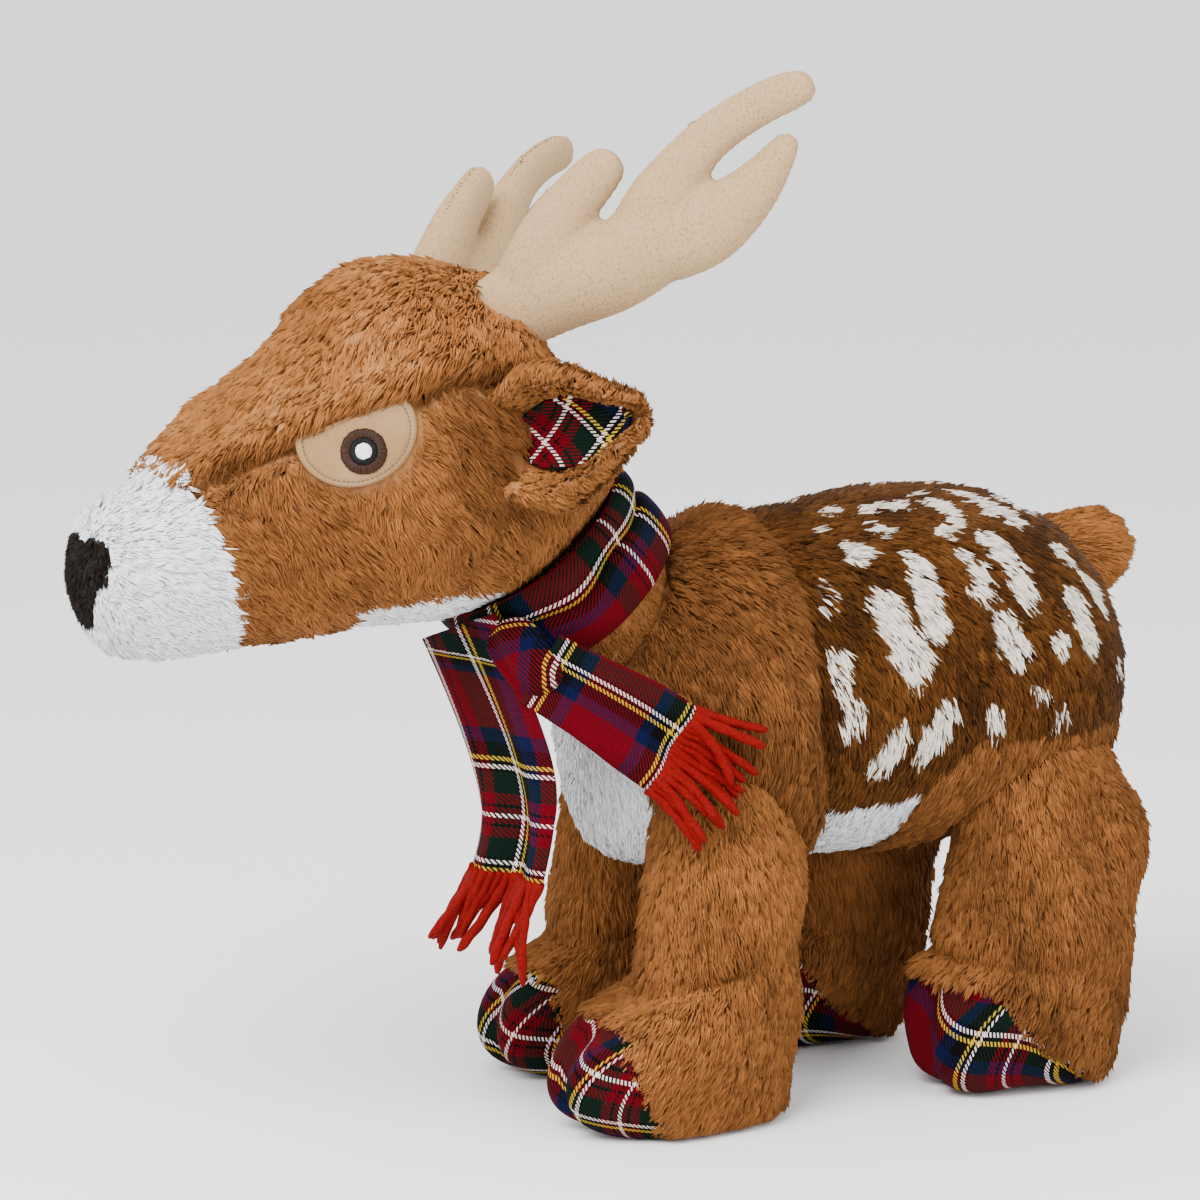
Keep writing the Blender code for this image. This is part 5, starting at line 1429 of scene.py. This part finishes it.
def hoof_share(word, p):
    """Positive on the checked toe and sole: ahead of the toe's seam, or on the flat sole."""
    heights, places = HOOF_SEAMS[word.split("_")[1]]
    seam = LEG_PLACES[word][1] + np.interp(p[..., 2], heights, places) + 0.007 * (word == "right_front")
    return np.where(p[..., 2] < heights[0], 1.0, np.where(p[..., 2] > heights[-1], -0.02, seam - p[..., 1]))


class DEER_OT_legs(bpy.types.Operator):
    """Makes the four filled legs, their pile and their checked toes"""
    bl_idname = "deer.legs"
    bl_label = "Legs"

    def execute(self, context):
        props = context.scene.deer_plush
        for seed, (word, (x, _, _)) in enumerate(LEG_PLACES.items()):
            points = leg_points(word)
            core = closed_form(word + "_leg_filling", points, [ground("tan")])
            filled(core, "tan_plush", 0.85, "torso", word + "_leg_stuffing")

            def keep(p, n):
                return (hoof_share(word, p) < -0.0004) & outside(p, TORSO, margin=0.985) & (p[:, 2] > 0.0022)

            def comb(p, n):
                foot = step(0.060 - p[:, 2], 0, 0.03)
                down = np.full(len(p), -1.0) + 0.15 * foot
                return np.stack([0.10 * np.sign(p[:, 0] - x), 0.12 - 0.75 * foot, down], -1)

            def long(p):
                return props.pile_length * 0.92 * (0.42 + 0.58 * step(-hoof_share(word, p), 0.0, 0.012))

            tone = usual_tone(0.33 if "front" in word else 0.22, seed=60 + seed)
            pile(word + "_leg_plush", points, "tan", "torso", comb, keep, tone, long, 400 + seed * 10,
                 word + "_leg_skin", floor=0.0012)
            self.toe(word)
        return {"FINISHED"}

    def toe(self, word):
        """The toe's cloth: the cells of a slightly larger leg that lie ahead of the seam, mapped by their
        arc lengths."""
        points = leg_points(word, 0.0007)
        rows, columns = points.shape[:2]
        lengths = np.linalg.norm(np.diff(points, axis=0), axis=-1)
        down = np.cumsum(np.concatenate([np.zeros((1, columns)), lengths]), 0)
        steps = np.linalg.norm(np.roll(points, -1, 1) - points, axis=-1)
        round_it = np.cumsum(steps, 1) - steps
        round_it = round_it - round_it[:, columns // 2][:, None]
        c, s = math.cos(0.6), math.sin(0.6)
        shift = 0.013 * len(word)
        uv = np.stack([c * round_it - s * down + shift, s * round_it + c * down + 0.02 + shift], -1)
        uv = uv[1:-1].reshape(-1, 2)
        faces = grid_faces(rows - 2, columns)
        flat = points[1:-1].reshape(-1, 3)
        whole = faces[:, 1] % columns != 0
        middle = flat[faces].mean(1)
        picked = faces[(hoof_share(word, middle) > -0.0015) & (whole | (middle[:, 2] < 0.004))]
        used, index = np.unique(picked, return_inverse=True)
        cloth = fill_mesh(word + "_hoof_cloth", flat[used], [index.reshape(-1, 4)], [check_finish()],
                          {"Cloth": uv[picked].reshape(-1, 2)})
        thicken(cloth, -1)
        filled(cloth, "checked_cloth", 0.9, "torso", word + "_hoof")


class DEER_OT_tail(bpy.types.Operator):
    """Makes the filled tail and its pile"""
    bl_idname = "deer.tail"
    bl_label = "Tail"

    def execute(self, context):
        props = context.scene.deer_plush

        def share(p):
            return (p - TAIL_ROOT) @ TAIL_AHEAD / TAIL_LENGTH

        points, _ = surface(TAIL, 72)
        far = share(points)
        points[..., 0] *= 0.80
        under = np.clip(TAIL_ROOT[2] - points[..., 2], 0, 1)
        points[..., 1] -= 0.006 * step(far, 0.3, 1.0) + 0.25 * under * step(far, 0.4, 0.9)
        core = closed_form("tail_filling", points, [ground("tan")])
        filled(core, "tan_plush", 0.8, "tail", "tail")

        def comb(p, n):
            return np.stack([0 * p[:, 0], np.ones(len(p)), -0.10 - 0.5 * step(0.180 - p[:, 2], 0, 0.012)], -1)

        def tone(roots, tuft, rng):
            own = rng.normal(0, 0.06, len(roots))
            return np.clip(0.24 + 0.25 * share(roots) + 0.06 * tuft + own, 0.02, 0.98)

        def long(p):
            return props.pile_length * (0.7 + 0.45 * np.clip(share(p), 0, 1))

        pile("tail_plush", points, "tan", "tail", comb, lambda p, n: level(TORSO, p) > 0.97, tone, long, 500,
             density=props.density * 1.3, lift=(26, 3))
        return {"FINISHED"}


# Scarf

def strip_grid(start, length, line, across, width, wave, widths, slant, rows=72, columns=48):
    """A hanging strip: a B-spline down its middle line, a width that opens out, and a wave across it that
    grows on the way down. Slant raises one corner of its top. Also how far along and across each point is,
    in metres of cloth, and the strip's own direction."""
    middle = start + np.array([(o, b, -d) for o, b, d in line]) * length
    t = np.linspace(0, 3, rows)
    first, last = 2 * middle[0] - middle[1], 2 * middle[3] - middle[2]
    centre = spline(np.concatenate([[first], middle, [last], [3 * middle[3] - 2 * middle[2]]]), t + 1)
    wide = np.interp(t, np.arange(4), widths) * width
    waved = np.interp(t, np.arange(4), (0, 0.6, 1, 1)) * wave
    ahead = unit(np.gradient(centre, axis=0))
    out = unit(np.cross(across, ahead))
    v = np.linspace(-1, 1, columns)
    ripple = waved[:, None] * np.cos(1.5 * np.pi * v[None] + 0.5 * np.sin(t * 1.7)[:, None])
    half = v[None, :, None] * wide[:, None, None] / 2
    points = centre[:, None] + across * half + out[:, None] * ripple[..., None]
    rise = slant * (v[None] + 1) / 2 * np.clip(1 - t, 0, 1)[:, None]
    points = points - ahead[:, None] * rise[..., None]
    down = np.cumsum(np.concatenate([[0], np.linalg.norm(np.diff(centre, axis=0), axis=-1)]))
    uv = np.stack([np.broadcast_to(v[None] * width / 2, ripple.shape), down[:, None] - rise], -1)
    return points, uv, ahead


def cloth_piece(name, points, uv, flip=False):
    """A checked cloth from a grid, with its wall."""
    rows, columns = points.shape[:2]
    faces = grid_faces(rows, columns, 0, False)
    if flip:
        faces = faces[:, ::-1]
    made = fill_mesh(name, points.reshape(-1, 3), [faces], [check_finish()],
                     {"Cloth": uv.reshape(-1, 2)[faces].reshape(-1, 2)})
    thicken(made)
    return made


def fringe(name, hem, ahead, down, length, splay, seed, across, aside, count=16):
    """Yarn sewn under a hem: each strand a quadratic curve that leaves along the cloth, leans aside and
    bends down."""
    rng = np.random.default_rng(seed)
    share = (np.arange(count) + 0.5) / count
    place = share * (len(hem) - 1)
    low = place.astype(int)
    start = hem[low] * (1 - (place - low))[:, None] + hem[low + 1] * (place - low)[:, None]
    fan = (share * 2 - 1)[:, None] * splay + rng.normal(0, 0.10, (count, 1)) + aside
    first = unit(ahead + across * fan)
    last = ahead * (1 - down) + np.array([0, 0, -1.0]) * down + across * (fan * 1.5)
    last = unit(last + rng.normal(0, 0.16, (count, 3)))
    long = (length * rng.uniform(0.88, 1.08, count))[:, None]
    t = np.linspace(0, 1, 22)
    a = start - ahead * 0.002
    b = a + first * long * 0.5
    c = b + last * long * 0.5
    at = t[None, :, None]
    paths = (1 - at) ** 2 * a[:, None] + 2 * at * (1 - at) * b[:, None] + at ** 2 * c[:, None]
    radius = bpy.context.scene.deer_scarf.yarn
    profile = np.interp(t, (0, 0.15, 0.6, 0.93, 1.0), (1.25, 1.15, 1.0, 0.95, 0.45))
    radii = radius * profile[None] * rng.uniform(0.85, 1.15, (count, 1))
    return tubes(name, paths, radii, 12, [yarn_finish()], ripple=0.13, turns=3.0)


class DEER_OT_scarf(bpy.types.Operator):
    """Makes the scarf: the band round the neck, the knot, the two ends and their fringes"""
    bl_idname = "deer.scarf"
    bl_label = "Scarf"

    def execute(self, context):
        self.band()
        self.knot()
        self.end("front", FRONT_START, FRONT_LENGTH, FRONT_LINE, FRONT_ACROSS, FRONT_WIDTH, 0.0030,
                 FRONT_WIDTHS, 0.015, 0.035, 0.18, -0.24)
        self.end("side", SIDE_START, SIDE_LENGTH, SIDE_LINE, SIDE_ACROSS, SIDE_WIDTH, 0.0022,
                 SIDE_WIDTHS, 0, 0.030, 0.16, 0.0)
        return {"FINISHED"}

    def band(self):
        """Two overlapping folds turned round the neck's axis: a closed profile whose crease wanders."""
        angle = np.linspace(0, 2 * np.pi, 160, endpoint=False)
        ext = np.array([*BAND_PROFILE[-1:], *BAND_PROFILE, *BAND_PROFILE[:3]])
        line = spline(ext, np.linspace(0, len(BAND_PROFILE), 64, endpoint=False) + 1)
        drift = 0.06 * np.sin(3 * angle + 0.6) + 0.04 * np.sin(7 * angle)
        down = line[None, :, 0] + drift[:, None] * hill(line[None, :, 0] - 0.45, 0.3)
        folds = 1 + 0.10 * np.sin(5 * angle + 1) + 0.05 * np.sin(11 * angle)
        out = line[None, :, 1] * folds[:, None]
        radius = NECK_RADIUS + BAND_CLEARANCE + 0.0006 + np.maximum(out, 0) * BAND_THICKNESS
        c, s = np.cos(angle)[:, None, None], np.sin(angle)[:, None, None]
        ring = radius[..., None] * (c * np.array([1.0, 0, 0]) + s * NECK_FRONT)
        points = NECK_TOP - NECK_UP * (BAND_DROP + down * BAND_WIDTH)[..., None] + ring
        points = points.transpose(1, 0, 2)
        rows, columns = points.shape[:2]
        cells = grid_faces(rows + 1, columns)
        steps = np.linalg.norm(np.diff(line * np.array([BAND_WIDTH, BAND_THICKNESS]), axis=0), axis=-1)
        path = np.concatenate([[0], np.cumsum(steps)])
        row, column = np.divmod(cells, columns)
        column = np.where((column == 0) & (np.arange(4)[None] % 3 != 0), columns, column)
        lengths = np.append(path, path[-1] + 0.001)
        girth = column / columns * 2 * np.pi * (NECK_RADIUS + 0.004)
        uv = np.stack([girth - 0.0092, 0.0395 - lengths[row]], -1)
        band = fill_mesh("scarf_band_cloth", points.reshape(-1, 3), [cells % (rows * columns)],
                         [check_finish()], {"Cloth": uv.reshape(-1, 2)})
        dress(band, "checked_cloth", "torso", "scarf_band")

    def knot(self):
        """A flattened wrap of gathered cloth: a squared-off ball, slanted across the band, with folds along
        it."""
        rows, columns = 64, 96
        tilt = np.linspace(-np.pi / 2, np.pi / 2, rows)[:, None]
        angle = np.linspace(0, 2 * np.pi, columns, endpoint=False)[None]
        square = [np.sign(v) * np.abs(v) ** k for v, k in (
            (np.cos(tilt), 0.55), (np.cos(angle), 0.70), (np.sin(angle), 0.80), (np.sin(tilt), 0.75))]
        fold = 1 + 0.11 * np.sin(7 * tilt + 1.2 * np.cos(angle) + 0.5) * np.cos(tilt)
        local = np.stack([
            square[0] * square[1] * KNOT_SIZE[0] / 2, square[0] * square[2] * fold * KNOT_SIZE[1] / 2,
            np.broadcast_to(square[3], (rows, columns)) * KNOT_SIZE[2] / 2], -1)
        c, s = math.cos(KNOT_SLANT), math.sin(KNOT_SLANT)
        local = local @ np.array([[c, 0, s], [0, 1, 0], [-s, 0, c]])
        c, s = math.cos(KNOT_TURN), math.sin(KNOT_TURN)
        points = local @ np.array([[c, s, 0], [-s, c, 0], [0, 0, 1]]) + KNOT
        points[0], points[-1] = points[0].mean(0), points[-1].mean(0)
        made = closed_form("scarf_knot_cloth", points, [check_finish()])
        flat = points_of(made)
        corners = np.zeros(len(made.data.loops), np.int32)
        made.data.loops.foreach_get("vertex_index", corners)
        uv = np.stack([flat[:, 0] * 0.9 + flat[:, 1] * 0.9 + 0.03, flat[:, 2] - flat[:, 0] * 0.5 + 0.04], -1)
        layer = made.data.uv_layers.new(name="Cloth")
        layer.data.foreach_set("uv", uv[corners].astype(np.float32).ravel())
        filled(made, "checked_cloth", 0.6, "torso", "scarf_knot")

    def end(self, word, start, length, line, across, width, wave, widths, slant, yarn_length, splay, aside):
        """A hanging end and its fringe. The front end's check is slid along to where its folds hide it."""
        points, uv, ahead = strip_grid(start, length, line, across, width, wave, widths, slant)
        if word == "front":
            uv = np.stack([0.0265 - uv[..., 0], np.interp(uv[..., 1], *np.array(FRONT_CHECK).T)], -1)
        else:
            uv = np.stack([uv[..., 0] + 0.0185, (uv[..., 1] - 0.0029) / 0.88 - 0.027], -1)
        cloth = cloth_piece(f"scarf_{word}_end_cloth", points, uv)
        yarn = fringe(f"scarf_{word}_fringe_yarn", points[-1], ahead[-1], 0.35, yarn_length, splay,
                      77 + len(word), across, aside)
        dress(cloth, "checked_cloth", f"scarf_{word}_end", f"scarf_{word}_end")
        dress(yarn, "red_yarn", f"scarf_{word}_end", f"scarf_{word}_fringe")


class DEER_OT_studio(bpy.types.Operator):
    """Makes the camera, the pale floor and the soft lights"""
    bl_idname = "deer.studio"
    bl_label = "Studio"

    def execute(self, context):
        props = context.scene.deer_studio
        a, e = props.azimuth, props.elevation
        back = Vector((math.sin(a) * math.cos(e), -math.cos(a) * math.cos(e), math.sin(e)))
        target = Vector((0, -0.011, 0.171))

        def placed(name, data, spot, way):
            item = bpy.data.objects.new(name, data)
            context.scene.collection.objects.link(item)
            item.location = spot
            item.rotation_euler = way.to_track_quat("Z", "Y").to_euler()
            return item

        eye = bpy.data.cameras.new("camera")
        eye.lens = props.lens
        eye.sensor_width = 36
        context.scene.camera = placed("camera", eye, target + back * props.distance, back)
        paint = finish("painted_studio_floor", lambda tree: (), Roughness=0.9, Base_Color=props.floor)
        reach = np.linspace(-1, 1, 9) * 80
        corners = np.stack([*np.meshgrid(reach, reach), np.zeros((9, 9))], -1).reshape(-1, 3)
        fill_mesh("studio_floor", corners, [grid_faces(9, 9, 0, False)], [paint])
        world = bpy.data.worlds.new("studio_sky")
        world.use_nodes = True
        sky = world.node_tree.nodes["Background"]
        sky.inputs[0].default_value = (1.0, 1.0, 1.0, 1)
        sky.inputs[1].default_value = props.sky
        context.scene.world = world
        right = Vector((math.cos(a), math.sin(a), 0))
        lamps = (
            ("key_light", target + back * 0.9 - right * 0.5 + Vector((0, 0, 0.95)), props.key),
            ("fill_light", target + back * 0.8 + right * 0.9 + Vector((0, 0, 0.35)), props.fill),
        )
        for name, spot, power in lamps:
            lamp = bpy.data.lights.new(name, "AREA")
            lamp.size = 0.9
            lamp.energy = power
            placed(name, lamp, spot, spot - target)
        return {"FINISHED"}


STEPS = ("studio", "torso", "neck", "head", "eyes", "antlers", "ears", "legs", "tail", "scarf")


class DEER_PT_panel(bpy.types.Panel):
    """Lists the deer's pieces and their settings"""
    bl_label = "Plush deer"
    bl_idname = "DEER_PT_panel"
    bl_space_type = "VIEW_3D"
    bl_region_type = "UI"
    bl_category = "Plush deer"

    def draw(self, context):
        for name in STEPS:
            self.layout.operator("deer." + name)
        for group in GROUPS:
            box = self.layout.box()
            held = getattr(context.scene, group)
            for key in held.__annotations__:
                box.prop(held, key)


GROUPS = {
    "deer_plush": PlushSettings, "deer_suede": SuedeSettings, "deer_scarf": ScarfSettings,
    "deer_studio": StudioSettings,
}
CLASSES = (
    *GROUPS.values(), DEER_OT_studio, DEER_OT_torso, DEER_OT_neck, DEER_OT_head, DEER_OT_eyes,
    DEER_OT_antlers, DEER_OT_ears, DEER_OT_legs, DEER_OT_tail, DEER_OT_scarf, DEER_PT_panel)


def register():
    for item in CLASSES:
        bpy.utils.register_class(item)
    for name, group in GROUPS.items():
        setattr(bpy.types.Scene, name, bpy.props.PointerProperty(type=group))


def unregister():
    for name in GROUPS:
        delattr(bpy.types.Scene, name)
    for item in reversed(CLASSES):
        bpy.utils.unregister_class(item)


def main():
    register()
    for name in STEPS:
        if getattr(bpy.ops.deer, name)() != {"FINISHED"}:
            raise RuntimeError("the step " + name + " didn't finish")
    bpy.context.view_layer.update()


if __name__ == "__main__":
    main()
